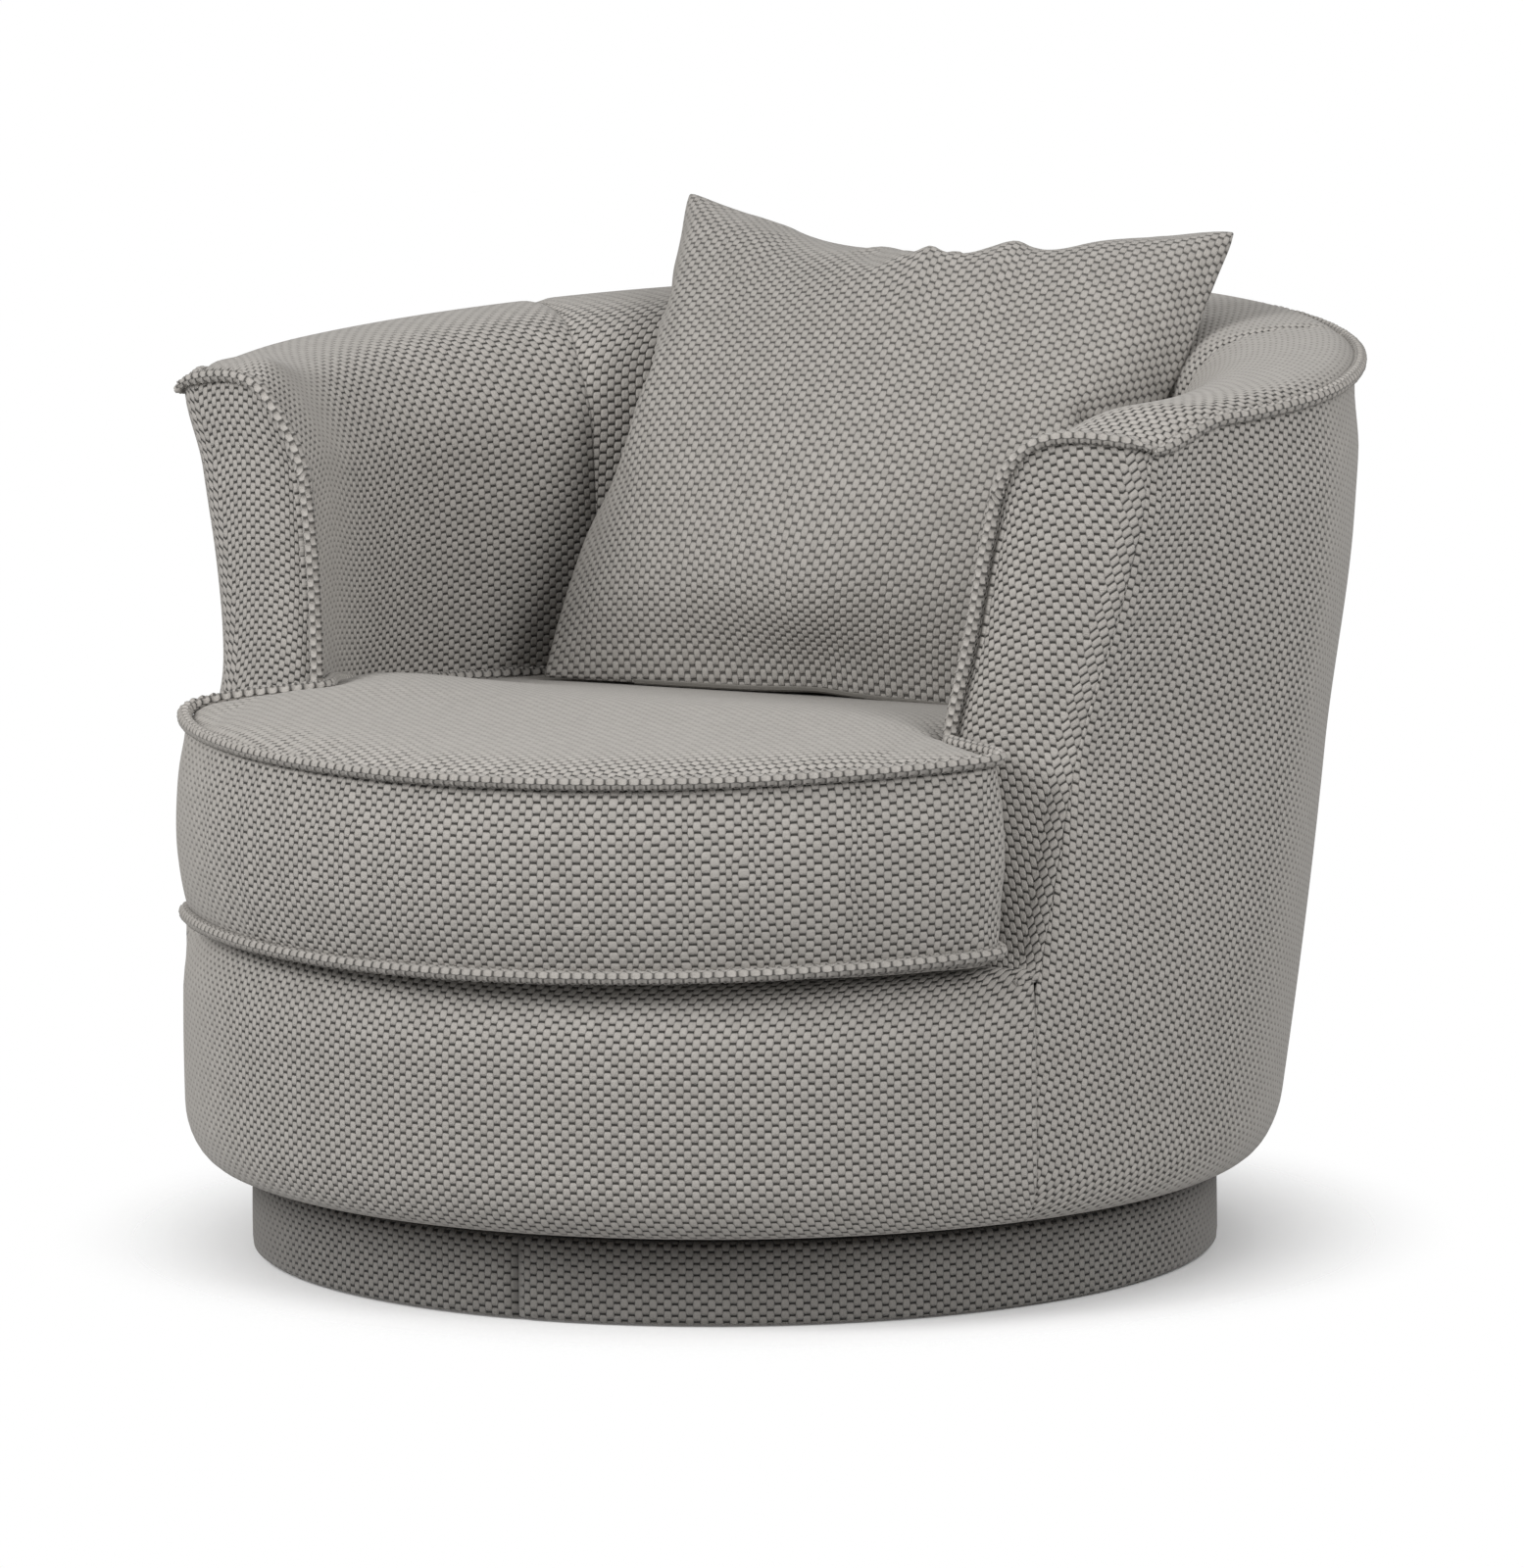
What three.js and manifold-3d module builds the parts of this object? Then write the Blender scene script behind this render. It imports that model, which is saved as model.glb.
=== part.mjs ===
// Swivel cuddle chair: a round upholstered tub on a covered plinth, with a loose seat cushion
// and a scatter cushion. Millimetres, +Z up, front towards -Y, origin under the swivel axis.
import * as THREE from 'three';
import Module from 'manifold-3d';
import { mergeVertices } from 'three/addons/utils/BufferGeometryUtils.js';

const wasm = await Module();
wasm.setup();

// Clearances and cloth
const gap = 0.3;
const facetClearance = 1.2;
const clothThickness = 4;
const pipingRadius = 5;
const pipingClearance = pipingRadius + gap;

// Plinth
const plinthRadius = 384;
const plinthTop = 68;
const plinthClothFoot = 2;
const plinthBandThickness = 8;
const boardThickness = 18;
const panelRecess = 2;
const glideRadius = 18;
const glideHeight = 6;
const glideCircleRadius = 320;
const glideCount = 5;
const blockLength = 120;
const blockWidth = 40;
const blockCircleRadius = 230;
const blockCount = 3;

// Swivel bearing
const trackRadius = 130;
const ringWidth = 48;
const ringShift = 10;
const ringThickness = 2.6;
const ballRadius = 3.3;
const ballCount = 8;
const cageThickness = 2;
const cageWidth = 14;
const screwCount = 4;
const screwRadius = 2.5;
const screwClearance = 0.5;
const screwHeadRadius = 5;
const screwHeadHeight = 3;
const screwLength = 14;
const screwEdge = 8;

// Body of the tub
const bodyRadius = 437;
const bodyFoot = 76;
const baseBoardInset = 5;
const baseBoardLift = 3;
const dustClothThickness = 1;
const dustClothMargin = 14;
const tuckHeight = 46;
const tuckDepth = 26;
const tuckShares = [1 / 8, 1 / 3, 1];
const baseBoardRadius = bodyRadius - tuckDepth - baseBoardInset;
const shellFootInset = 2;
const shellFootRadius = bodyRadius - shellFootInset;
const shellFootHeight = 100;
const shellHeadRadius = 498;
const shellHeadHeight = 700;
const shellBulge = 7;
const shellBoardThickness = 7;

// Front edge of each arm, where the outside cover turns round onto the facing
const faceAngle = 67;
const skewSpan = 40;
const pinchSpan = 38;
const seamAngle = 63.3;
const ridgeFootHeight = 271;
const ridgeSeatHeight = 455;
const ridgeSeatAngle = 71.3;
const ridgeSeatInset = 20;
const ridgeSeatRadius = bodyRadius - ridgeSeatInset;
const ridgeWaistHeight = 500;
const ridgeWaistInset = 14;
const ridgeWaistRadius = bodyRadius - ridgeWaistInset;
const earHeight = 692;
const earAngle = 76.7;
const earInset = 38;
const earRadius = shellHeadRadius - earInset;

// Inside of the tub
const innerSeatHeight = 467;
const innerSeatAngle = 61.1;
const innerHeadHeight = 664;
const wallHeadDepth = 132;
const innerHeadRadius = shellHeadRadius - wallHeadDepth;
const innerFlare = 33;
const innerSeatRadius = innerHeadRadius - innerFlare;
const innerHeadAngle = 65.1;
const innerBackDepth = 8;
const padThickness = 30;
const padSeamAngle = 131;
const padSeamHalfGap = 0.1;

// Rim
const rimHeight = 709;
const rimRunUp = 12;
const rimOut = 1;
const crestRise = 15;
const crestShares = [[0.93, 0.75], [0.78, 1], [0.52, 0.9], [0.32, 0.4], [0.16, -0.45], [0.05, -1.6]];
const crestBackShares = [0.42, 0.46, 0.46, 0.25, -0.1, -0.9];
const crestRunDown = 25;
const crestLip = 2;
const wallHead = rimHeight + crestRise + crestRise;

// Frame
const railWidth = 35;
const railHeight = 32;
const railSeat = 20;
const postDepth = 32;
const postHalfAngle = 2.4;
const armPostAngle = 74;
const backPostAngles = [125, 180, 235];
const seatRailTop = 262;
const rearSeatAngle = 128;
const frontRailAngle = 58;
const frontRollRadius = 16;

// Springs
const springCount = 4;
const springPitch = 120;
const springWireRadius = 2;
const springSwing = 26;
const springWaves = 6;
const stepsPerWave = 4;
const springHook = 9;
const springRailThickness = 5;
const springRailHeight = 12;
const springRailAngle = 36;

// Seat deck and seat cushion
const deckClearance = 2;
const deckRadius = baseBoardRadius - boardThickness - deckClearance;
const deckTop = 282;
const cushionFootSeam = 293;
const cushionHeadSeam = 447;
const cushionRearDrop = 34;
const cushionCrown = 36;
const hollowReach = 150;
const hollowShare = 0.75;
const cushionOverhang = 9;
const cushionFrontRadius = bodyRadius + cushionOverhang;
const cushionCornerAngle = 60.2;
const cushionCornerRound = 16;
const cushionNeckClearance = 8;
const cushionNeckRadius = innerSeatRadius - cushionNeckClearance;
const cushionNeckRound = 9;
const cushionRearClearance = 4.4;
const cushionRearRadius = innerSeatRadius + innerBackDepth - cushionRearClearance;
const cushionNeckSpan = 30;
const cushionSwell = 3;
const cushionLugPoints = 2;
const crownShares = [[0.05, 0.34], [0.18, 0.7], [0.5, 0.95]];
const borderShares = [[0.25, 0.16], [0, 0.5], [0.25, 0.84]];
const cushionZipAngle = 36;
const zipHeight = 9;
const zipThickness = 2;

// Scatter cushion
const scatterWidth = 480;
const scatterHeight = 436;
const scatterThickness = 140;
const scatterLean = 38;
const scatterAcross = 18;
const scatterBack = 214;
const scatterMiddle = 606.8;
const scatterWaistShare = 0.1;
const scatterFullShare = 0.45;
const scatterCells = 12;
const scatterZipLength = 300;
const scatterZipWidth = 3;

// Facing pads at the front of the arms
const facingAngle = 3;
const facingCrown = 1.4;
const facingAngleGap = 0.08;
const frontBlockShare = 0.7;
const frontBlockAngle = 15;

// Mesh fineness, in steps and sides
const roundSteps = 48;
const sweepStep = 7.5;
const frontStations = [-12, 0, 3, 6, 12, 19, 29, 41];
const rearSteps = 9;
const glideSides = 12;
const screwSides = 8;
const wireSides = 4;
const pipingSides = 5;
const ballSides = 6;
const plateSteps = 24;
const cordStepsPerPoint = 2;

const cloth = { color: 0xa5a19c, roughness: 0.95, metalness: 0 };
const ply = { color: 0xc9a877, roughness: 0.7, metalness: 0 };
const foam = { color: 0xe6dcc2, roughness: 0.95, metalness: 0 };
const steel = { color: 0x8c9094, roughness: 0.4, metalness: 0.9 };
const darkCloth = { color: 0x24231f, roughness: 1, metalness: 0 };
const nylon = { color: 0x35332f, roughness: 0.6, metalness: 0 };

const chair = new THREE.Group();
const plinth = new THREE.Group();
const tub = new THREE.Group();
const seat = new THREE.Group();
const scatter = new THREE.Group();
chair.add(plinth, tub, seat, scatter);

const turn = 360;
const half = 180;
const toRadians = THREE.MathUtils.degToRad;
const mix = THREE.MathUtils.lerp;
const ease = (share) => THREE.MathUtils.smoothstep(share, 0, 1);

function addPiece(group, name, geometry, finish) {
  const mesh = new THREE.Mesh(geometry, new THREE.MeshStandardMaterial(finish));
  mesh.name = name;
  group.add(mesh);
  return mesh;
}

// A point at an angle counted from the front, towards the right arm
function polar(radius, angle, height) {
  const turned = toRadians(angle);
  return new THREE.Vector3(radius * Math.sin(turned), -radius * Math.cos(turned), height);
}

function signedVolume(positions, faces) {
  const [a, b, c] = [new THREE.Vector3(), new THREE.Vector3(), new THREE.Vector3()];
  let sum = 0;
  for (let i = 0; i < faces.length; i += 3) {
    a.fromArray(positions, faces[i] * 3);
    b.fromArray(positions, faces[i + 1] * 3);
    c.fromArray(positions, faces[i + 2] * 3);
    sum += a.dot(b.cross(c));
  }
  return sum;
}

function geometryFrom(points, faces) {
  const positions = points.flatMap((point) => point.toArray());
  const outward = signedVolume(positions, faces) > 0 ? faces : faces.slice().reverse();
  const geometry = new THREE.BufferGeometry();
  geometry.setAttribute('position', new THREE.Float32BufferAttribute(positions, 3));
  geometry.setIndex(outward);
  return geometry;
}

function welded(geometry) {
  geometry.deleteAttribute('normal');
  geometry.deleteAttribute('uv');
  return mergeVertices(geometry);
}

// The two triangles of a quad; the diagonal always rises from the first ring to the second
function quad(points, a, b, count) {
  if (points[b].z >= points[a].z) {
    return [a, b, b + count, a, b + count, a + count];
  }
  return [a, b, a + count, b, b + count, a + count];
}

function ringFaces(points, ringCount, count) {
  const faces = [];
  for (let r = 0; r + 1 < ringCount; r += 1) {
    for (let i = 0; i < count; i += 1) {
      faces.push(...quad(points, r * count + i, r * count + ((i + 1) % count), count));
    }
  }
  return faces;
}

// Closed rings of points joined one to the next, with each end filled by the given triangles
function loft(rings, endFaces) {
  const points = rings.flat();
  const count = rings[0].length;
  const faces = ringFaces(points, rings.length, count);
  const last = (rings.length - 1) * count;
  for (const [a, b, c] of endFaces) {
    faces.push(a, c, b, last + a, last + b, last + c);
  }
  return geometryFrom(points, faces);
}

function contourFaces(contour) {
  return THREE.ShapeUtils.triangulateShape(contour.map(([x, y]) => new THREE.Vector2(x, y)), []);
}

// Rings that close onto a middle point below the first one and above the last one
function pillowLoft(rings, footMiddle, headMiddle) {
  const count = rings[0].length;
  const points = [...rings.flat(), footMiddle, headMiddle];
  const faces = ringFaces(points, rings.length, count);
  const last = (rings.length - 1) * count;
  for (let i = 0; i < count; i += 1) {
    const next = (i + 1) % count;
    faces.push(points.length - 2, next, i, points.length - 1, last + i, last + next);
  }
  return geometryFrom(points, faces);
}

function circlePath(radius, sides, middle) {
  return Array.from({ length: sides }, (_, i) => {
    const { x, y } = polar(radius, (i * turn) / sides, 0);
    return new THREE.Vector2(middle.x + x, middle.y + y);
  });
}

function disc(radius, thickness, holes = [], steps = roundSteps) {
  const middle = new THREE.Vector2();
  const shape = new THREE.Shape(circlePath(radius, steps, middle));
  for (const { at, hole, sides } of holes) {
    shape.holes.push(new THREE.Path(circlePath(hole, sides, at)));
  }
  return welded(new THREE.ExtrudeGeometry(shape, { depth: thickness, bevelEnabled: false }));
}

function ring(innerRadius, outerRadius, thickness, holes = [], steps = roundSteps) {
  const inside = { at: new THREE.Vector2(), hole: innerRadius, sides: steps };
  return disc(outerRadius, thickness, [inside, ...holes], steps);
}

function circleOf(count, radius, offsetAngle = 0) {
  return Array.from({ length: count }, (_, i) => polar(radius, offsetAngle + (i * turn) / count, 0));
}

function raised(group, name, geometry, finish, height) {
  addPiece(group, name, geometry, finish).position.z = height;
}

// A round cord swept along a line of points
function tube(points, radius, sides, stepsPerPoint = 1) {
  const section = new THREE.Shape();
  for (let i = 0; i < sides; i += 1) {
    const at = polar(radius, (i * turn) / sides, 0);
    section[i ? 'lineTo' : 'moveTo'](at.x, at.y);
  }
  const path = new THREE.CatmullRomCurve3(points);
  const steps = (points.length - 1) * stepsPerPoint;
  const run = { steps, bevelEnabled: false, extrudePath: path };
  return welded(new THREE.ExtrudeGeometry(section, run));
}

// Plinth
const bandOuter = plinthRadius - clothThickness - gap;
const bandInner = bandOuter - plinthBandThickness;
const panelRadius = bandInner - gap;
const topPanelFoot = plinthTop - panelRecess - boardThickness;
const bottomPanelFoot = glideHeight + gap;
const bandHeight = plinthTop - bottomPanelFoot - panelRecess;
const blockFoot = bottomPanelFoot + boardThickness + gap;
const lowerRingFoot = plinthTop - panelRecess + gap;
const lowerRing = { inner: trackRadius - ringWidth / 2 + ringShift, outer: trackRadius + ringWidth / 2 + ringShift };
const upperRing = { inner: trackRadius - ringWidth / 2 - ringShift, outer: trackRadius + ringWidth / 2 - ringShift };
const lowerScrewCircle = lowerRing.outer - screwEdge;
const upperScrewCircle = upperRing.inner + screwEdge;

function holesAt(circleRadius) {
  const hole = screwRadius + screwClearance;
  return circleOf(screwCount, circleRadius).map((at) => ({ at, hole, sides: screwSides }));
}

function screw() {
  const head = new THREE.Vector2(screwHeadRadius, 0);
  const profile = [
    new THREE.Vector2(0, -screwLength),
    new THREE.Vector2(screwRadius, -screwLength),
    new THREE.Vector2(screwRadius, 0),
    head,
    new THREE.Vector2(screwHeadRadius, screwHeadHeight),
    new THREE.Vector2(0, screwHeadHeight),
  ];
  return turned(profile, screwSides);
}

function turned(profile, sides) {
  const lathe = welded(new THREE.LatheGeometry(profile, sides));
  lathe.rotateX(Math.PI / 2);
  return lathe;
}

function solidOf(geometry) {
  const vertProperties = geometry.attributes.position.array;
  const triVerts = Uint32Array.from(geometry.index.array);
  return new wasm.Manifold(new wasm.Mesh({ numProp: 3, vertProperties, triVerts }));
}

function geometryOf(solid) {
  const { vertProperties, triVerts } = solid.getMesh();
  const geometry = new THREE.BufferGeometry();
  geometry.setAttribute('position', new THREE.BufferAttribute(vertProperties, 3));
  geometry.setIndex(new THREE.BufferAttribute(triVerts, 1));
  return geometry;
}

function ballCage() {
  const cage = ring(trackRadius - cageWidth / 2, trackRadius + cageWidth / 2, cageThickness, [], plateSteps);
  cage.translate(0, 0, -cageThickness / 2);
  let solid = solidOf(cage);
  for (const at of circleOf(ballCount, trackRadius)) {
    const ball = welded(new THREE.SphereGeometry(ballRadius, ballSides, wireSides));
    ball.rotateX(Math.PI / 2);
    ball.translate(at.x, at.y, 0);
    solid = solid.add(solidOf(ball));
  }
  return geometryOf(solid);
}

const plinthBottomPanel = disc(panelRadius, boardThickness);
const plinthTopPanel = disc(panelRadius, boardThickness, holesAt(lowerScrewCircle));
raised(plinth, 'plinth_bottom_panel', plinthBottomPanel, ply, bottomPanelFoot);
raised(plinth, 'plinth_top_panel', plinthTopPanel, ply, topPanelFoot);
raised(plinth, 'plinth_band', ring(bandInner, bandOuter, bandHeight), ply, bottomPanelFoot);
const plinthCloth = ring(bandOuter + gap, plinthRadius, plinthTop - plinthClothFoot);
raised(plinth, 'plinth_cover', plinthCloth, cloth, plinthClothFoot);
circleOf(glideCount, glideCircleRadius).forEach((at, i) => {
  const glide = new THREE.CylinderGeometry(glideRadius, glideRadius, glideHeight, glideSides);
  glide.rotateX(Math.PI / 2);
  addPiece(plinth, `glide_${i + 1}`, welded(glide), nylon).position.set(at.x, at.y, glideHeight / 2);
});
circleOf(blockCount, blockCircleRadius, half).forEach((at, i) => {
  const blockHeight = topPanelFoot - blockFoot - gap;
  const block = addPiece(
    plinth,
    `plinth_block_${i + 1}`,
    new THREE.BoxGeometry(blockLength, blockWidth, blockHeight),
    ply,
  );
  block.position.set(at.x, at.y, blockFoot + blockHeight / 2);
  block.rotation.z = Math.atan2(at.y, at.x);
});

// Swivel bearing: a plate ring on the plinth, one under the tub, and balls in a cage between
const ballMiddle = lowerRingFoot + ringThickness + gap + ballRadius;
const upperRingFoot = ballMiddle + ballRadius + gap;
const baseBoardFoot = upperRingFoot + ringThickness + gap;
const plate = (at, holes) => ring(at.inner, at.outer, ringThickness, holes, plateSteps);
const lowerPlate = plate(lowerRing, holesAt(lowerScrewCircle));
const upperPlate = plate(upperRing, holesAt(upperScrewCircle));
raised(plinth, 'bearing_lower_ring', lowerPlate, steel, lowerRingFoot);
raised(plinth, 'ball_cage', ballCage(), steel, ballMiddle);
raised(tub, 'bearing_upper_ring', upperPlate, steel, upperRingFoot);
circleOf(screwCount, lowerScrewCircle).forEach((at, i) => {
  const height = lowerRingFoot + ringThickness + gap;
  addPiece(plinth, `lower_screw_${i + 1}`, screw(), steel).position.set(at.x, at.y, height);
});
circleOf(screwCount, upperScrewCircle).forEach((at, i) => {
  const fixing = addPiece(tub, `upper_screw_${i + 1}`, screw(), steel);
  fixing.position.set(at.x, at.y, upperRingFoot - gap);
  fixing.rotation.x = Math.PI;
});

// Base board of the tub and the dust cloth under it
const baseBoardHead = baseBoardFoot + boardThickness;
const dustInner = upperRing.outer + dustClothMargin;
const dustOuter = baseBoardRadius - dustClothMargin;
const dustCloth = ring(dustInner, dustOuter, dustClothThickness);
raised(tub, 'base_board', disc(baseBoardRadius, boardThickness, holesAt(upperScrewCircle)), ply, baseBoardFoot);
raised(tub, 'dust_cloth', dustCloth, darkCloth, baseBoardFoot - gap - dustClothThickness);

// Radius of the outside of the tub away from the arm fronts
function shellRadius(height) {
  const share = (height - shellFootHeight) / (shellHeadHeight - shellFootHeight);
  const belly = shellBulge * Math.sin(Math.PI * THREE.MathUtils.clamp(share, 0, 1));
  return mix(shellFootRadius, shellHeadRadius, share) + belly;
}

function tuckIn(height) {
  const below = THREE.MathUtils.clamp((bodyFoot + tuckHeight - height) / tuckHeight, 0, 1);
  return tuckDepth * (1 - Math.sqrt(1 - below * below));
}

// A value that eases from one named height to the next
function along(height, stations) {
  const last = stations[stations.length - 1];
  const upper = stations.find(([at]) => at >= height) ?? last;
  const lower = stations[Math.max(stations.indexOf(upper) - 1, 0)];
  if (upper === lower || height >= last[0]) {
    return height >= last[0] ? last[1] : upper[1];
  }
  return mix(lower[1], upper[1], (height - lower[0]) / (upper[0] - lower[0]));
}

const ridgeAngles = [
  [ridgeFootHeight, seamAngle],
  [ridgeSeatHeight, ridgeSeatAngle],
  [earHeight, earAngle],
];
const ridgeRadii = [
  [ridgeFootHeight, bodyRadius],
  [ridgeSeatHeight, ridgeSeatRadius],
  [ridgeWaistHeight, ridgeWaistRadius],
  [earHeight, earRadius],
];

function innerShare(height) {
  return Math.max((height - innerSeatHeight) / (innerHeadHeight - innerSeatHeight), 0);
}

function placeInWall(sweep, across, out, height) {
  const mirrored = sweep > half;
  const angle = mirrored ? turn - sweep : sweep;
  const skew = 1 - ease((angle - faceAngle) / skewSpan);
  const pinch = 1 - ease((angle - faceAngle) / pinchSpan);
  const insideFront = mix(innerSeatAngle, innerHeadAngle, innerShare(height));
  const insideRadius = mix(innerSeatRadius, innerHeadRadius, innerShare(height));
  const inside = polar(
    insideRadius + innerBackDepth * (1 - skew),
    angle + skew * (insideFront - faceAngle),
    height,
  );
  const outside = polar(
    mix(shellRadius(height), along(height, ridgeRadii), pinch) - tuckIn(height),
    angle + skew * (along(height, ridgeAngles) - faceAngle),
    height,
  );
  const place = inside.lerp(outside, across);
  const radius = Math.hypot(place.x, place.y);
  const scale = (radius + out) / radius;
  return new THREE.Vector3(place.x * (mirrored ? -scale : scale), place.y * scale, height);
}

const rearStep = (half - faceAngle - frontStations[frontStations.length - 1]) / rearSteps;
const rightStations = [
  ...frontStations.map((offset) => faceAngle + offset),
  ...Array.from({ length: rearSteps - 1 }, (_, i) => half - (rearSteps - 1 - i) * rearStep),
];
const leftStations = rightStations.map((angle) => turn - angle).reverse();
const sweepStations = [...rightStations, half, ...leftStations];
const tuckLevels = [bodyFoot, ...tuckShares.map((share) => bodyFoot + share * tuckHeight)];
const wallLevels = [
  ...tuckLevels,
  ridgeFootHeight,
  (ridgeFootHeight + ridgeSeatHeight) / 2,
  ridgeSeatHeight,
  ridgeWaistHeight,
  (ridgeWaistHeight + earHeight) / 2,
  innerHeadHeight,
  earHeight,
  wallHead,
];

function bracket(value, stations) {
  const found = stations.findIndex((at) => at >= value);
  const upper = found < 0 ? stations.length - 1 : Math.max(found, 1);
  const [from, to] = [stations[upper - 1], stations[upper]];
  return [from, to, (value - from) / (to - from)];
}

// A place in the wall of the tub: the sweep angle runs from one arm front round the back to the
// other, across is 0 on the inside face and 1 on the outside face, out is a distance added there
function wall(sweep, across, out, height) {
  const [from, to, turned] = bracket(sweep, sweepStations);
  const [low, high, raisedShare] = bracket(height, wallLevels);
  const foot = placeInWall(from, across, out, low).lerp(placeInWall(to, across, out, low), turned);
  const head = placeInWall(from, across, out, high).lerp(placeInWall(to, across, out, high), turned);
  return foot.lerp(head, raisedShare);
}

function rimAt(sweep) {
  const [from, to, share] = bracket(sweep, sweepStations);
  const [start, end] = [from, to].map((angle) => {
    const fromFront = Math.min(angle, turn - angle) - faceAngle;
    return mix(earHeight, rimHeight, ease(fromFront / rimRunUp));
  });
  return mix(start, end, share);
}

// The crest over the wall as across and height; it is highest at the arm fronts
function crestAt(sweep) {
  const fromFront = Math.min(sweep, turn - sweep) - faceAngle;
  const back = ease(fromFront / crestRunDown);
  return crestShares.map(([across, rise], i) => (
    [across, rimAt(sweep) + crestRise * mix(rise, crestBackShares[i], back)]
  ));
}

function stepsBetween(start, end, stations) {
  return [start, ...stations.filter((at) => at > start && at < end), end];
}

// A section of the wall, given as across, out and height, swept from one angle to another
function wallRings(sectionAt, start, end) {
  return stepsBetween(start, end, sweepStations).map((sweep) => (
    sectionAt(sweep).map(([across, out, height]) => wall(sweep, across, out, height))
  ));
}

function wallSweep(sectionAt, start, end) {
  const width = shellHeadRadius - innerHeadRadius;
  const contour = sectionAt(start).map(([across, out, height]) => [across * width + out, height]);
  return loft(wallRings(sectionAt, start, end), contourFaces(contour));
}

// An upright sheet of the wall between two distances from its outside face
function sheet(fromOut, toOut, levelsAt, start, end) {
  const rings = wallRings((sweep) => {
    const levels = levelsAt(sweep);
    const outer = levels.map((height) => [1, toOut, height]);
    return [...outer, ...levels.map((height) => [1, fromOut, height]).reverse()];
  }, start, end);
  const last = rings[0].length - 1;
  const endFaces = Array.from({ length: (last - 1) / 2 }, (_, i) => [
    [i, i + 1, last - i - 1],
    [i, last - i - 1, last - i],
  ]);
  return loft(rings, endFaces.flat());
}

function bar(fromOut, toOut, fromHeight, toHeight) {
  return [
    [1, fromOut, fromHeight],
    [1, toOut, fromHeight],
    [1, toOut, toHeight],
    [1, fromOut, toHeight],
  ];
}

// Frame
const boardOuter = -clothThickness - gap - gap;
const boardInner = boardOuter - shellBoardThickness;
const postOuter = boardInner - gap;
const postInner = postOuter - postDepth;
const seatRailOuter = postInner - facetClearance;
const seatRailInner = seatRailOuter - railWidth;
const padFoot = deckTop + gap;
const topRailHead = (sweep) => rimAt(sweep) - railSeat;
const topRailFoot = (sweep) => topRailHead(sweep) - railHeight;
const frameStart = armPostAngle - postHalfAngle;

function post(name, angle) {
  const levels = (sweep) => stepsBetween(baseBoardHead + gap, topRailFoot(sweep) - gap, wallLevels);
  const column = sheet(postInner, postOuter - facetClearance, levels, angle - postHalfAngle, angle + postHalfAngle);
  addPiece(tub, name, column, ply);
}

post('arm_post_right', armPostAngle);
post('arm_post_left', turn - armPostAngle);
['back_post_right', 'back_post_middle', 'back_post_left'].forEach((name, i) => {
  post(name, backPostAngles[i]);
});

const topRail = wallSweep(
  (sweep) => bar(postInner, postOuter - gap - gap, topRailFoot(sweep), topRailHead(sweep)),
  frameStart,
  turn - frameStart,
);
addPiece(tub, 'top_rail', topRail, ply);

function seatRail(name, start, end) {
  const section = bar(seatRailInner, seatRailOuter, seatRailTop - railHeight, seatRailTop);
  addPiece(tub, name, wallSweep(() => section, start, end), ply);
}

const jointHalfGap = gap / 2;
seatRail('side_rail_right', frameStart, rearSeatAngle - jointHalfGap);
seatRail('rear_rail', rearSeatAngle + jointHalfGap, turn - rearSeatAngle - jointHalfGap);
seatRail('side_rail_left', turn - rearSeatAngle + jointHalfGap, turn - frameStart);

// A ring-shaped piece round the front of the tub, its section given as radius and height
const frontSteps = Array.from({ length: turn / sweepStep + 1 }, (_, i) => i * sweepStep - half);

function facetPolar(radius, angle, height) {
  const [from, to, share] = bracket(angle, frontSteps);
  return polar(radius, from, height).lerp(polar(radius, to, height), share);
}

function frontSweep(section, reach) {
  const rings = stepsBetween(-reach, reach, frontSteps).map((angle) => (
    section.map(([radius, height]) => facetPolar(radius, angle, height))
  ));
  return loft(rings, contourFaces(section));
}

const frontRailOuter = baseBoardRadius;
const frontRailInner = frontRailOuter - boardThickness;
const frontRail = frontSweep([
  [frontRailInner, baseBoardHead + gap],
  [frontRailOuter, baseBoardHead + gap],
  [frontRailOuter, seatRailTop],
  [frontRailInner, seatRailTop],
], frontRailAngle);
addPiece(tub, 'front_rail', frontRail, ply);

// Outside board and cover
const boardFoot = baseBoardFoot + baseBoardLift;
const coverLevels = wallLevels.slice(0, -2);

const boardLevels = [boardFoot, ...coverLevels.slice(2)];
const boardTopDrop = pipingClearance + clothThickness;
const outerCover = sheet(
  -clothThickness,
  0,
  (sweep) => [...coverLevels, rimAt(sweep) - pipingClearance],
  faceAngle,
  turn - faceAngle,
);
addPiece(tub, 'outer_cover', outerCover, cloth);

// Inside pads: foam and cover over the rim, down the inside face to the deck
function padSection(sweep) {
  const rim = rimAt(sweep);
  const lipFoot = rim + pipingClearance;
  return [
    [1, -crestLip, lipFoot],
    ...crestAt(sweep).map(([across, height]) => [across, 0, height]),
    [0, 0, innerHeadHeight - (earHeight - rim) / 2],
    [0, 0, mix(innerSeatHeight, innerHeadHeight, 0.5)],
    [0, 0, innerSeatHeight],
    [0, 0, padFoot],
    [0, padThickness, padFoot],
    [0, padThickness, innerSeatHeight],
    [0, padThickness, rim - railSeat - railHeight],
    [0, padThickness, rim - railSeat + gap],
    [1, boardInner - facetClearance, rim - railSeat + gap],
    [1, boardInner - facetClearance, lipFoot],
  ];
}

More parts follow.
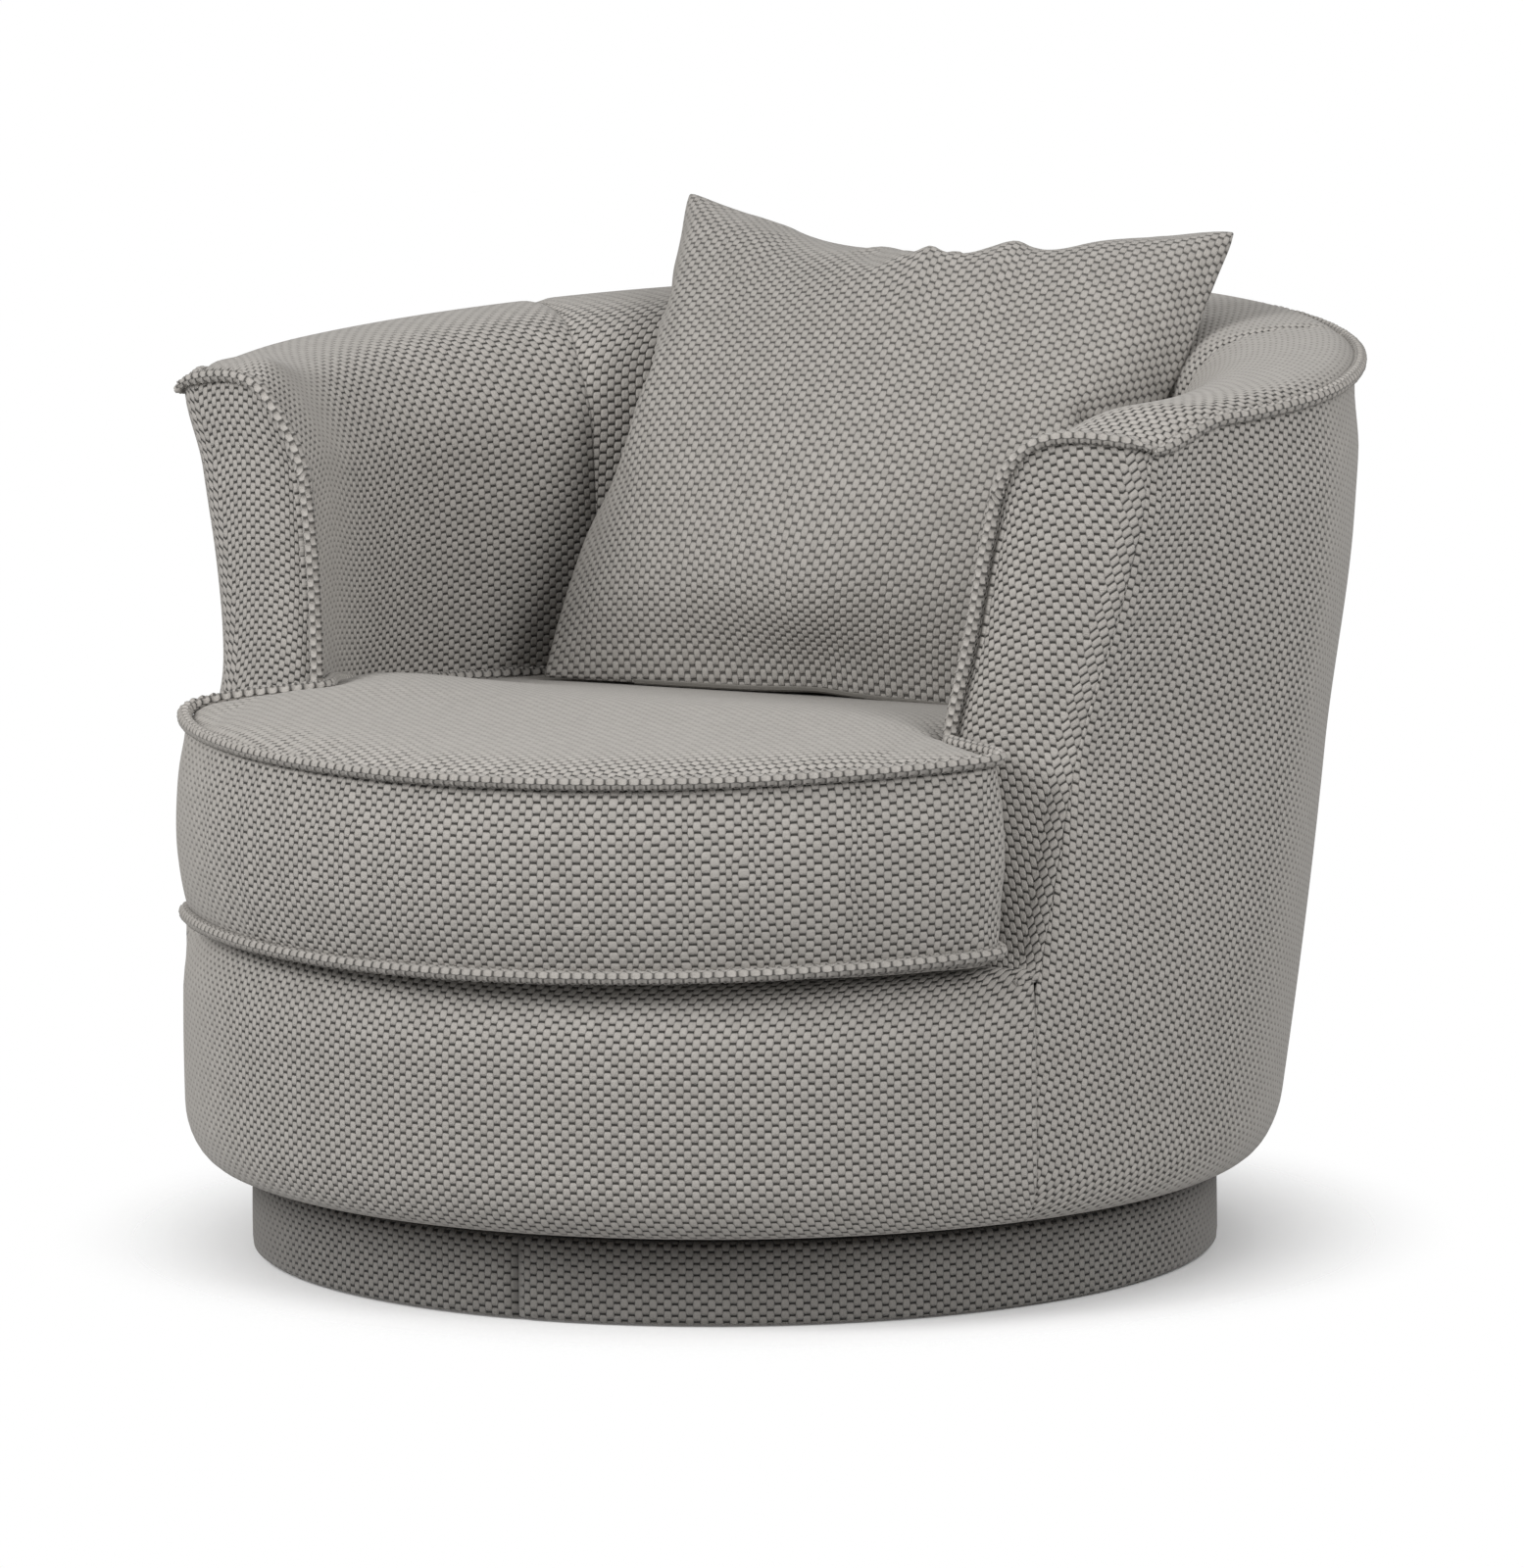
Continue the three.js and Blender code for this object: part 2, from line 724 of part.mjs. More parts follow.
// Everything before the arm front, or with a positive depth behind it, at a sweep angle
function armFrontBlock(sweep, depth) {
  const levels = stepsBetween(bodyFoot, wallHead, wallLevels);
  const rings = levels.map((height) => [
    wall(sweep, -frontBlockShare, 0, height),
    wall(sweep, 1 + frontBlockShare, 0, height),
    wall(sweep + depth, 1 + frontBlockShare, 0, height),
    wall(sweep + depth, -frontBlockShare, 0, height),
  ]);
  return solidOf(loft(rings, [[0, 1, 2], [0, 2, 3]]));
}

const mirror = ([from, to]) => [turn - to, turn - from];
const facingEnd = faceAngle + facingAngle;
const padStart = facingEnd + facingAngleGap;
const padSweep = [padStart - facingAngle, padSeamAngle - padSeamHalfGap];
const shellBoard = solidOf(sheet(
  boardInner,
  boardOuter,
  (sweep) => [...boardLevels, rimAt(sweep) - boardTopDrop],
  faceAngle,
  turn - faceAngle,
));
const frontCuts = [armFrontBlock(padStart, -frontBlockAngle), armFrontBlock(turn - padStart, frontBlockAngle)];
const cutBoard = shellBoard.subtract(frontCuts[0]).subtract(frontCuts[1]);
addPiece(tub, 'shell_board', geometryOf(cutBoard), ply);

const armPad = solidOf(wallSweep(padSection, ...padSweep)).subtract(frontCuts[0]);
addPiece(tub, 'arm_pad_right', geometryOf(armPad), cloth);
const backPad = wallSweep(padSection, padSeamAngle + padSeamHalfGap, turn - padSeamAngle - padSeamHalfGap);
addPiece(tub, 'back_pad', backPad, cloth);
const leftPad = solidOf(wallSweep(padSection, ...mirror(padSweep)));
addPiece(tub, 'arm_pad_left', geometryOf(leftPad.subtract(frontCuts[1])), cloth);

// Facings closing the arm fronts, and the piping round each one and along the rim
const facingInset = pipingClearance + facingCrown;

function facingSection(sweep) {
  const rim = rimAt(sweep);
  const crest = crestAt(sweep).map(([across, height]) => (
    [across, across < 0.5 ? facingInset * (1 - across) : 0, height - facingInset]
  ));
  return [
    [1, boardOuter, rim - facingInset],
    ...crest,
    [0, facingInset, innerHeadHeight - facingInset],
    [0, facingInset, mix(innerSeatHeight, innerHeadHeight, 0.5)],
    [0, facingInset, innerSeatHeight],
    [0, facingInset, padFoot],
    [1, boardOuter, padFoot],
    ...wallLevels.filter((height) => height > padFoot && height < earHeight).map((height) => [1, boardOuter, height]),
  ];
}

const facingSweep = [faceAngle - facingAngle / 2, facingEnd + facingAngle / 2];
const rightFacing = solidOf(wallSweep(facingSection, ...facingSweep))
  .subtract(armFrontBlock(faceAngle, -frontBlockAngle))
  .subtract(armFrontBlock(facingEnd, frontBlockAngle));
addPiece(tub, 'arm_facing_right', geometryOf(rightFacing), cloth);
const leftFacing = solidOf(wallSweep(facingSection, ...mirror(facingSweep)))
  .subtract(armFrontBlock(turn - faceAngle, frontBlockAngle))
  .subtract(armFrontBlock(turn - facingEnd, -frontBlockAngle));
addPiece(tub, 'arm_facing_left', geometryOf(leftFacing), cloth);

function facingPiping(mirrored) {
  const nominal = faceAngle + facingAngle / 2;
  const sweep = mirrored ? turn - nominal : nominal;
  const rim = rimAt(sweep);
  const crest = crestAt(sweep).map(([across, height]) => wall(sweep, across, 0, height));
  const inside = [
    innerHeadHeight - (earHeight - rim) / 2,
    mix(innerSeatHeight, innerHeadHeight, 0.5),
    innerSeatHeight,
    padFoot + pipingClearance,
  ];
  const points = [...crest, ...inside.map((height) => wall(sweep, 0, 0, height))];
  return tube(points, pipingRadius, pipingSides, cordStepsPerPoint);
}

addPiece(tub, 'facing_piping_right', facingPiping(false), cloth);
addPiece(tub, 'facing_piping_left', facingPiping(true), cloth);

function cordSection(sweep) {
  return Array.from({ length: pipingSides }, (_, i) => {
    const at = polar(pipingRadius, (i * turn) / pipingSides, 0);
    return [1, rimOut + at.x, rimAt(sweep) + at.y];
  });
}

addPiece(tub, 'rim_piping', wallSweep(cordSection, faceAngle, turn - faceAngle), cloth);

// Padded front below the seat, rolled over the front rail
const frontPadInner = baseBoardRadius + facetClearance;
const frontPadSection = [
  ...tuckLevels.map((height) => [bodyRadius - tuckIn(height), height]),
  [bodyRadius, deckTop - frontRollRadius],
  [bodyRadius - frontRollRadius / 4, deckTop - frontRollRadius / 4],
  [bodyRadius - frontRollRadius, deckTop],
  [frontRailInner, deckTop],
  [frontRailInner, seatRailTop + gap],
  [frontPadInner, seatRailTop + gap],
  [frontPadInner, bodyFoot],
];
addPiece(tub, 'front_cover', frontSweep(frontPadSection, seamAngle - jointHalfGap), cloth);

// Springs, the strips that hold their ends, and the padded deck on them
const frontStripOuter = frontRailInner - gap;
const frontStripInner = frontStripOuter - springRailThickness;
const rearStripOut = seatRailInner - gap;
const stripHead = seatRailTop - gap;
const stripFoot = stripHead - springRailHeight;
const frontStrip = frontSweep([
  [frontStripInner, stripFoot],
  [frontStripOuter, stripFoot],
  [frontStripOuter, stripHead],
  [frontStripInner, stripHead],
], springRailAngle);
addPiece(tub, 'spring_rail_front', frontStrip, steel);
const rearStrip = wallSweep(
  () => bar(rearStripOut - springRailThickness, rearStripOut, stripFoot, stripHead),
  half - springRailAngle,
  half + springRailAngle,
);
addPiece(tub, 'spring_rail_rear', rearStrip, steel);

const springHeight = seatRailTop - gap - springWireRadius;
const springClearance = facetClearance + springWireRadius / 2;
const rearStripInner = wall(half, 1, rearStripOut - springRailThickness, springHeight).y;

function springPath(across) {
  const reach = (radius) => Math.sqrt(radius * radius - across * across);
  const start = -reach(frontStripInner) + springClearance;
  const end = reach(rearStripInner) - springClearance;
  const at = (swing, y) => new THREE.Vector3(across + swing, y, springHeight);
  const steps = springWaves * stepsPerWave;
  const [first, last] = [start + springHook, end - springHook];
  const waves = Array.from({ length: steps + 1 }, (_, i) => (
    at(springSwing * Math.sin((i * Math.PI) / 2), mix(first, last, i / steps))
  ));
  return [at(0, start), ...waves, at(0, end)];
}

for (let i = 0; i < springCount; i += 1) {
  const across = (i - (springCount - 1) / 2) * springPitch;
  addPiece(tub, `zigzag_spring_${i + 1}`, tube(springPath(across), springWireRadius, wireSides), steel);
}
raised(tub, 'seat_deck', disc(deckRadius, deckTop - seatRailTop - gap), cloth, seatRailTop + gap);

const cushionFoot = deckTop + gap;

// Outline of the seat cushion: a wide front with a lug before each arm and a round back
function cushionOutline() {
  const corner = (radius, angle) => polar(radius, angle, 0);
  const roundAngle = THREE.MathUtils.radToDeg(cushionCornerRound / cushionFrontRadius);
  const neckRoundAngle = THREE.MathUtils.radToDeg(cushionNeckRound / cushionNeckRadius);
  const front = stepsBetween(0, cushionCornerAngle - roundAngle, frontSteps)
    .map((angle) => corner(cushionFrontRadius, angle));
  const lug = Array.from({ length: cushionLugPoints + 1 }, (_, i) => {
    const [from, to] = [cushionFrontRadius - cushionCornerRound, cushionNeckRadius + cushionNeckRound];
    return corner(mix(from, to, i / cushionLugPoints), cushionCornerAngle);
  });
  const bend = corner(cushionFrontRadius - cushionCornerRound / 4, cushionCornerAngle - roundAngle / 4);
  const back = stepsBetween(cushionCornerAngle + neckRoundAngle, half, frontSteps)
    .map((angle) => {
      const share = ease((angle - cushionCornerAngle) / cushionNeckSpan);
      return corner(mix(cushionNeckRadius, cushionRearRadius, share), angle);
    });
  const right = [...front, bend, ...lug, ...back];
  const left = right.slice(1, -1).reverse().map(({ x, y }) => new THREE.Vector3(-x, y, 0));
  return [...right, ...left];
}

const outline = cushionOutline();

function insetOutline(depth) {
  return outline.map((point, i) => {
    const before = outline[(i + outline.length - 1) % outline.length];
    const after = outline[(i + 1) % outline.length];
    const along = after.clone().sub(before).normalize();
    return point.clone().add(new THREE.Vector3(-along.y, along.x, 0).multiplyScalar(depth));
  });
}

// The top of the cushion slopes down to the back, more the higher a point lies
function sloped(point, height) {
  const back = (point.y + cushionFrontRadius) / (cushionFrontRadius + cushionRearRadius);
  const share = (height - cushionFootSeam - seamReach) / (cushionHeadSeam - cushionFootSeam - 2 * seamReach);
  return new THREE.Vector3(point.x, point.y, height - cushionRearDrop * back * THREE.MathUtils.clamp(share, 0, 1));
}

const seamInset = pipingRadius + cushionSwell;
const bodyInset = seamInset + pipingClearance + gap + gap;
const seamReach = pipingRadius + cushionSwell;

function cushionRing(inset, height) {
  return insetOutline(inset).map((point) => sloped(point, height));
}

// The crown flattens to the back, where the scatter cushion weighs on it
function crownAt(y) {
  return cushionCrown * (1 - hollowShare * ease((y + hollowReach) / (hollowReach + hollowReach)));
}

function seatCushion() {
  const border = borderShares.map(([inset, share]) => (
    cushionRing(inset * seamInset, mix(cushionFootSeam, cushionHeadSeam, share))
  ));
  const head = cushionRing(bodyInset, cushionHeadSeam + gap);
  const crown = crownShares.map(([share, rise]) => (
    head.map((point) => {
      const place = new THREE.Vector3(point.x * (1 - share), point.y * (1 - share), 0);
      return sloped(place, cushionHeadSeam + rise * crownAt(place.y));
    })
  ));
  const middle = sloped(new THREE.Vector3(), cushionHeadSeam + crownAt(0));
  return pillowLoft([
    cushionRing(bodyInset + cushionSwell, cushionFoot),
    cushionRing(bodyInset, cushionFootSeam - pipingRadius),
    cushionRing(bodyInset, cushionFootSeam + cushionSwell / 2),
    cushionRing(seamInset, cushionFootSeam + seamReach),
    ...border,
    cushionRing(seamInset, cushionHeadSeam - seamReach),
    cushionRing(bodyInset, cushionHeadSeam - cushionSwell / 2),
    head,
    ...crown,
  ], new THREE.Vector3(0, 0, cushionFoot), middle);
}

// A closed cord of piping along a seam of the cushion
function cushionPiping(height) {
  const lines = Array.from({ length: pipingSides }, (_, i) => {
    const at = polar(pipingRadius, (i * turn) / pipingSides, 0);
    const seam = cushionRing(seamInset - at.x, height);
    return seam.map((point) => new THREE.Vector3(point.x, point.y, point.z + at.y));
  });
  const count = outline.length;
  const faces = [];
  for (let i = 0; i < count; i += 1) {
    const next = (i + 1) % count;
    for (let k = 0; k < pipingSides; k += 1) {
      const [low, high] = [k * count, ((k + 1) % pipingSides) * count];
      faces.push(low + i, low + next, high + next, low + i, high + next, high + i);
    }
  }
  return geometryFrom(lines.flat(), faces);
}

addPiece(seat, 'seat_cushion', seatCushion(), cloth);
addPiece(seat, 'cushion_piping_top', cushionPiping(cushionHeadSeam), cloth);
addPiece(seat, 'cushion_piping_bottom', cushionPiping(cushionFootSeam), cloth);

const zipFoot = (cushionFootSeam + cushionHeadSeam - cushionRearDrop - zipHeight) / 2;
const zipInner = cushionRearRadius + gap;
const cushionZip = frontSweep([
  [zipInner, zipFoot],
  [zipInner + zipThickness, zipFoot],
  [zipInner + zipThickness, zipFoot + zipHeight],
  [zipInner, zipFoot + zipHeight],
], cushionZipAngle);
addPiece(seat, 'cushion_zip', cushionZip, nylon).rotation.z = Math.PI;

// Scatter cushion: two crowned panels meeting in a sharp edge, leaning on the back
function scatterCushion() {
  const points = [];
  const faces = [];
  const size = scatterCells + 1;
  for (const side of [-1, 1]) {
    for (let i = 0; i < size; i += 1) {
      for (let k = 0; k < size; k += 1) {
        const [u, v] = [(2 * i) / scatterCells - 1, (2 * k) / scatterCells - 1];
        const full = ((1 - u * u) * (1 - v * v)) ** scatterFullShare;
        points.push(new THREE.Vector3(
          (scatterWidth / 2) * u * (1 - scatterWaistShare * (1 - v * v)),
          (side * scatterThickness * full) / 2,
          (scatterHeight / 2) * v * (1 - scatterWaistShare * (1 - u * u)),
        ));
      }
    }
  }
  const sheet = size * size;
  for (let i = 0; i < scatterCells; i += 1) {
    for (let k = 0; k < scatterCells; k += 1) {
      const a = i * size + k;
      const [b, c, d] = [a + size, a + size + 1, a + 1];
      faces.push(a, b, c, a, c, d);
      faces.push(sheet + a, sheet + c, sheet + b, sheet + a, sheet + d, sheet + c);
    }
  }
  return mergeVertices(geometryFrom(points, faces));
}

const scatterPlace = new THREE.Group();
scatterPlace.position.set(scatterAcross, scatterBack, scatterMiddle);
scatterPlace.rotation.x = -toRadians(scatterLean);
scatter.add(scatterPlace);
addPiece(scatterPlace, 'scatter_cushion', scatterCushion(), cloth);
const scatterZipPoints = Array.from({ length: scatterCells + 1 }, (_, i) => {
  const across = mix(-scatterZipLength / 2, scatterZipLength / 2, i / scatterCells);
  const u = (2 * across) / scatterWidth;
  const foot = (scatterHeight / 2) * (1 - scatterWaistShare * (1 - u * u));
  return new THREE.Vector3(across, 0, -foot - scatterZipWidth / 2 - gap - gap);
});
addPiece(scatterPlace, 'scatter_zip', tube(scatterZipPoints, scatterZipWidth / 2, wireSides), nylon);

// The origin lies on the floor under the middle of the chair's outline
const bounds = new THREE.Box3().setFromObject(chair);
chair.position.y = -(bounds.min.y + bounds.max.y) / 2;

export default chair;
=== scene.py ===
"""Swivel cuddle chair: the upholstery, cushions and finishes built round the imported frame."""

import math

import bpy
import numpy as np
from bpy.props import FloatProperty, FloatVectorProperty, PointerProperty
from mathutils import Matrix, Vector


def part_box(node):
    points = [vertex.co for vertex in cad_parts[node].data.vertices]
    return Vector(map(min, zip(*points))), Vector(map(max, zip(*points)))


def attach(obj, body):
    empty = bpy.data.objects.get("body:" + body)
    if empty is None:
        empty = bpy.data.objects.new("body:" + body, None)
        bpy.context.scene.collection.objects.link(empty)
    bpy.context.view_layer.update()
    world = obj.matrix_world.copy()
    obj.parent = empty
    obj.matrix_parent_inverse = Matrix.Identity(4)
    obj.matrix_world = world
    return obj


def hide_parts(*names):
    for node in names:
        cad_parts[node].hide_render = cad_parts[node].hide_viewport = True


bl_info = {
    "name": "Swivel cuddle chair",
    "version": (1, 0, 0),
    "blender": (4, 5, 0),
    "location": "View3D > Sidebar > Chair",
    "description": "Builds the covers, cushions, piping and finishes of a swivel cuddle chair",
    "category": "Object",
}

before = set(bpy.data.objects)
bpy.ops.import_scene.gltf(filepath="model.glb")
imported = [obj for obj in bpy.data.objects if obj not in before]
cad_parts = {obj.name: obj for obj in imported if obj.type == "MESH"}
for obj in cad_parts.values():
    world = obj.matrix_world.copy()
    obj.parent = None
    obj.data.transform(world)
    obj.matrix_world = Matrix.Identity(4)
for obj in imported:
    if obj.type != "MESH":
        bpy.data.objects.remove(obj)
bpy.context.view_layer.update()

# Everything is worked out in millimetres round the swivel axis, then moved into the frame
MM = 0.001
PLINTH_LOW, PLINTH_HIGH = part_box("plinth_cover")
AXIS = np.array([0, (PLINTH_LOW.y + PLINTH_HIGH.y) / 2, 0])
TUB, PLINTH, SEAT, SCATTER = "tub_body", "plinth_body", "seat_cushion_body", "scatter_cushion_body"
WEAVE_UV = "weave"

# Tub: angles count from the front towards the right arm, and a table gives sizes by height
HALF, TURN = 180.0, 360.0
FACE_ANGLE = 67.0
SKEW_SPAN, PINCH_SPAN = 40.0, 38.0
SEAM_ANGLE = 63.3
BODY_RADIUS, BODY_FOOT = 437.0, 76.0
TUCK_HEIGHT, TUCK_DEPTH = 46.0, 26.0
SHELL_FOOT_RADIUS, SHELL_FOOT_HEIGHT = 435.0, 100.0
SHELL_HEAD_RADIUS, SHELL_HEAD_HEIGHT = 498.0, 700.0
SHELL_BULGE = 7.0
RIDGE_ANGLES = [(271, 63.3), (455, 71.3), (692, 76.7)]
RIDGE_RADII = [(271, 437), (455, 417), (500, 423), (692, 460)]
INSIDE_ANGLES = [(467, 61.1), (664, 65.1), (720, 66.4)]
INSIDE_RADII = [(467, 333), (560, 342), (664, 351), (720, 367)]
INSIDE_EXTRA = 8.0
EAR_HEIGHT, RIM_HEIGHT, RIM_RUN_UP = 692.0, 709.0, 12.0
# The crest over the wall, as how far across from the inside and its rise there at the arm fronts
CREST = [(1.0, 0.2), (0.93, 0.55), (0.78, 0.7), (0.52, 1.02), (0.32, 0.97), (0.16, 0.55), (0.05, -0.7)]
# The rises at the same places, round the back
CREST_BACK = [0.2, 0.65, 0.85, 0.85, 0.6, 0.1, -0.8]
CREST_RUN_DOWN = 25.0
PAD_SEAM_ANGLE = 131.0
DECK_TOP = 282.3
INSIDE_MIDDLE = np.array([0, 0, 500.0])
FRONT_ROLL, ROLL_TALL = 46.0, 68.0
BLUR = 26
SEAT_LEVEL = 271.0
# How the soft pieces lean and shift against the level, symmetrical solids
TUB_LEAN, LEAN_OFFSET, LEAN_TURN, LEAN_RUN = 0.052, 437.0, math.radians(30), 400.0
EAR_LIFT, EAR_ANGLE, EAR_REACH = 26.0, 73.0, 12.0
SEAT_LEAN = 0.030
SHELL_SHIFT, SHIFT_FOOT, SHIFT_RUN = 8.0, 400.0, 180.0
SHIFT_HEAD, SHIFT_FADE, SHIFT_LOST = 630.0, 60.0, 0.8
SEAM_GROOVE, CLOTH_SWEEP = 0.6, 1.9
WING_RISE, WING_SIDE, WING_SPREAD = 15.0, 110.0, 200.0
WING_FRONT, WING_REAR = (-300.0, 150.0), (-130.0, 170.0)


def sideways(points):
    """How far places lie to the right in the picture."""
    return points[..., 0] * math.cos(LEAN_TURN) + points[..., 1] * math.sin(LEAN_TURN)


def settled(points):
    """The upholstery sinks towards the left of the picture, most at the rim, where the left ear stands up."""
    points = np.array(points, float)
    x, y, z = points[..., 0].copy(), points[..., 1].copy(), points[..., 2].copy()
    past = np.clip(np.degrees(np.arctan2(-x, -y)) - EAR_ANGLE, 0, None)
    lift = EAR_LIFT * np.exp(-(past / EAR_REACH) ** 2) * (x < 0)
    kept = 1 - SHIFT_LOST * ease((z - SHIFT_HEAD) / SHIFT_FADE)
    shift = SHELL_SHIFT * ease((z - SHIFT_FOOT) / SHIFT_RUN) * kept
    sunk = TUB_LEAN * (sideways(points) - LEAN_OFFSET)
    points[..., 0] = x + shift * math.cos(LEAN_TURN)
    points[..., 1] = y + shift * math.sin(LEAN_TURN)
    points[..., 2] = z + (sunk + lift) * ease((z - SEAT_LEVEL) / LEAN_RUN)
    return points


def seat_lean(points):
    return SEAT_LEAN * sideways(points)


def seat_wing(points):
    """The left wing of the seat cushion is pushed up where it meets the arm."""
    front, rear = (ease((points[:, 1] - start) / run) for start, run in (WING_FRONT, WING_REAR))
    return WING_RISE * front * (1 - rear) * ease((-points[:, 0] - WING_SIDE) / WING_SPREAD)


def ease(share):
    share = np.clip(share, 0.0, 1.0)
    return share * share * (3 - 2 * share)


def blurred(table):
    """A smooth function of height near the sizes of a table."""
    heights = np.arange(-100.0, 900.0, 2.0)
    values = np.interp(heights, [h for h, _ in table], [v for _, v in table])
    span = np.arange(-2 * BLUR, 2 * BLUR + 1, 2.0)
    weights = np.exp(-0.5 * (span / (BLUR / 2)) ** 2)
    padded = np.pad(values, len(span) // 2, mode="edge")
    smooth = np.convolve(padded, weights / weights.sum(), mode="valid")
    return lambda height: np.interp(height, heights, smooth)


ridge_angle, ridge_radius = blurred(RIDGE_ANGLES), blurred(RIDGE_RADII)
inside_angle, inside_radius = blurred(INSIDE_ANGLES), blurred(INSIDE_RADII)


def shell_radius(height):
    share = (height - SHELL_FOOT_HEIGHT) / (SHELL_HEAD_HEIGHT - SHELL_FOOT_HEIGHT)
    bulge = SHELL_BULGE * 4 * share * (1 - share)
    return SHELL_FOOT_RADIUS + share * (SHELL_HEAD_RADIUS - SHELL_FOOT_RADIUS) + np.maximum(bulge, 0)


def tuck_in(height):
    below = np.clip((BODY_FOOT + TUCK_HEIGHT - height) / TUCK_HEIGHT, 0, 1)
    return TUCK_DEPTH * (1 - np.sqrt(1 - below * below))


def polar(radius, angle, height):
    turned = np.radians(angle)
    radius, turned, height = np.broadcast_arrays(radius, turned, height)
    return np.stack([radius * np.sin(turned), -radius * np.cos(turned), height], -1)


def wall(sweep, across, out, height):
    """A place in the wall of the tub; across is 0 on the inside face and 1 on the outside."""
    given = (np.asarray(value, float) for value in (sweep, across, out, height))
    sweep, across, out, height = np.broadcast_arrays(*given)
    angle = np.where(sweep > HALF, TURN - sweep, sweep)
    skew = 1 - ease((angle - FACE_ANGLE) / SKEW_SPAN)
    pinch = 1 - ease((angle - FACE_ANGLE) / PINCH_SPAN)
    inner = polar(
        inside_radius(height) + INSIDE_EXTRA * (1 - skew),
        angle + skew * (inside_angle(height) - FACE_ANGLE),
        height,
    )
    outside = shell_radius(height) * (1 - pinch) + ridge_radius(height) * pinch - tuck_in(height)
    outer = polar(outside, angle + skew * (ridge_angle(height) - FACE_ANGLE), height)
    place = inner + (outer - inner) * across[..., None]
    radius = np.hypot(place[..., 0], place[..., 1])
    scale = (radius + out) / radius
    place[..., 0] *= np.where(sweep > HALF, -scale, scale)
    place[..., 1] *= scale
    return place


def rim_at(sweep):
    from_front = np.minimum(sweep, TURN - sweep) - FACE_ANGLE
    return EAR_HEIGHT + (RIM_HEIGHT - EAR_HEIGHT) * ease(from_front / RIM_RUN_UP)


# Meshes


def linked(name, data):
    """A new object of the scene that shows a mesh, a light or a camera."""
    piece = bpy.data.objects.new(name, data)
    bpy.context.scene.collection.objects.link(piece)
    return piece


def in_frame(points):
    """Millimetres round the swivel axis, as metres in the frame."""
    return points * MM + AXIS


def new_mesh(name, places, faces):
    mesh = bpy.data.meshes.new(name)
    mesh.from_pydata(places.tolist(), [], [list(map(int, face)) for face in faces])
    return mesh


def add_cloth_layer(mesh, corner_uv):
    """Lays the cloth on a mesh, from millimetres along the cloth for each corner of each face."""
    layer = mesh.uv_layers.new(name=WEAVE_UV)
    layer.data.foreach_set("uv", (corner_uv * MM).ravel().astype(np.float32))


def face_corners(mesh):
    starts = np.empty(len(mesh.polygons), np.int64)
    totals = np.empty(len(mesh.polygons), np.int64)
    corners = np.empty(len(mesh.loops), np.int64)
    mesh.polygons.foreach_get("loop_start", starts)
    mesh.polygons.foreach_get("loop_total", totals)
    mesh.loops.foreach_get("vertex_index", corners)
    return starts, totals, corners


def grid_faces(rows, columns, closed=False, flip=False):
    """Quads over rows of points; a closed grid joins the last column to the first."""
    index = np.arange(rows * columns).reshape(rows, columns)
    right = np.roll(index, -1, 1) if closed else index[:, 1:]
    left = index if closed else index[:, :-1]
    quads = np.stack([left[:-1], right[:-1], right[1:], left[1:]], -1).reshape(-1, 4)
    return quads[:, ::-1] if flip else quads


def mesh_object(name, points, faces, uv, material):
    """A smooth mesh from points in millimetres, with the place of each point on its cloth."""
    mesh = new_mesh(name, in_frame(points.reshape(-1, 3)), faces)
    if uv is not None:
        add_cloth_layer(mesh, uv.reshape(-1, 2)[face_corners(mesh)[2]])
    mesh.shade_smooth()
    mesh.materials.append(material)
    return linked(name, mesh)


def thicken(piece, thickness, offset=-1.0):
    solid = piece.modifiers.new("Thickness", "SOLIDIFY")
    solid.thickness = thickness * MM
    solid.offset = offset


def refine(piece):
    fine = piece.modifiers.new("Fine surface", "SUBSURF")
    fine.levels = fine.render_levels = 1


def wobble(points, size, reach, seed):
    """A slow, seeded unevenness: a few waves through space, each some size long, together reach high."""
    rng = np.random.default_rng(seed)
    total = np.zeros(points.shape[:-1])
    for _ in range(7):
        direction = rng.normal(size=3)
        direction *= 2 * math.pi / (size * rng.uniform(0.7, 1.6) * np.linalg.norm(direction))
        total += np.sin(points @ direction + rng.uniform(0, 2 * math.pi))
    return reach * total / 4


def grid_normals(points):
    along = np.gradient(points, axis=1)
    up = np.gradient(points, axis=0)
    normal = np.cross(along, up)
    return normal / np.maximum(np.linalg.norm(normal, axis=-1, keepdims=True), 1e-9)


def arc_length(points):
    steps = np.linalg.norm(np.diff(points, axis=0), axis=-1)
    return np.concatenate([[0], np.cumsum(steps)])


def even_spaced(points, step, closed=False):
    """The same line with its points a fixed step apart."""
    if closed:
        points = np.vstack([points, points[:1]])
    length = arc_length(points)
    count = max(int(round(length[-1] / step)), 4)
    at = np.linspace(0, length[-1], count + 1)
    line = np.stack([np.interp(at, length, points[:, k]) for k in range(3)], -1)
    return line[:-1] if closed else line


def smooth_line(points, rounds, closed=False):
    """Draws each point half way to the middle of its neighbours, some rounds over."""
    points = np.array(points, float)
    for _ in range(rounds):
        if closed:
            points = 0.5 * points + 0.25 * (np.roll(points, 1, 0) + np.roll(points, -1, 0))
        else:
            points[1:-1] = 0.5 * points[1:-1] + 0.25 * (points[:-2] + points[2:])
    return points


# Materials

NODE_STEP = 200


def feed(tree, node, inputs):
    """Gives inputs of a node a number, a vector or an opaque colour, or links an output to them."""
    for key, value in inputs.items():
        socket = node.inputs[key]
        if isinstance(value, bpy.types.NodeSocket):
            tree.links.new(value, socket)
        elif socket.type == "RGBA":
            socket.default_value = (*value, 1)
        else:
            socket.default_value = value


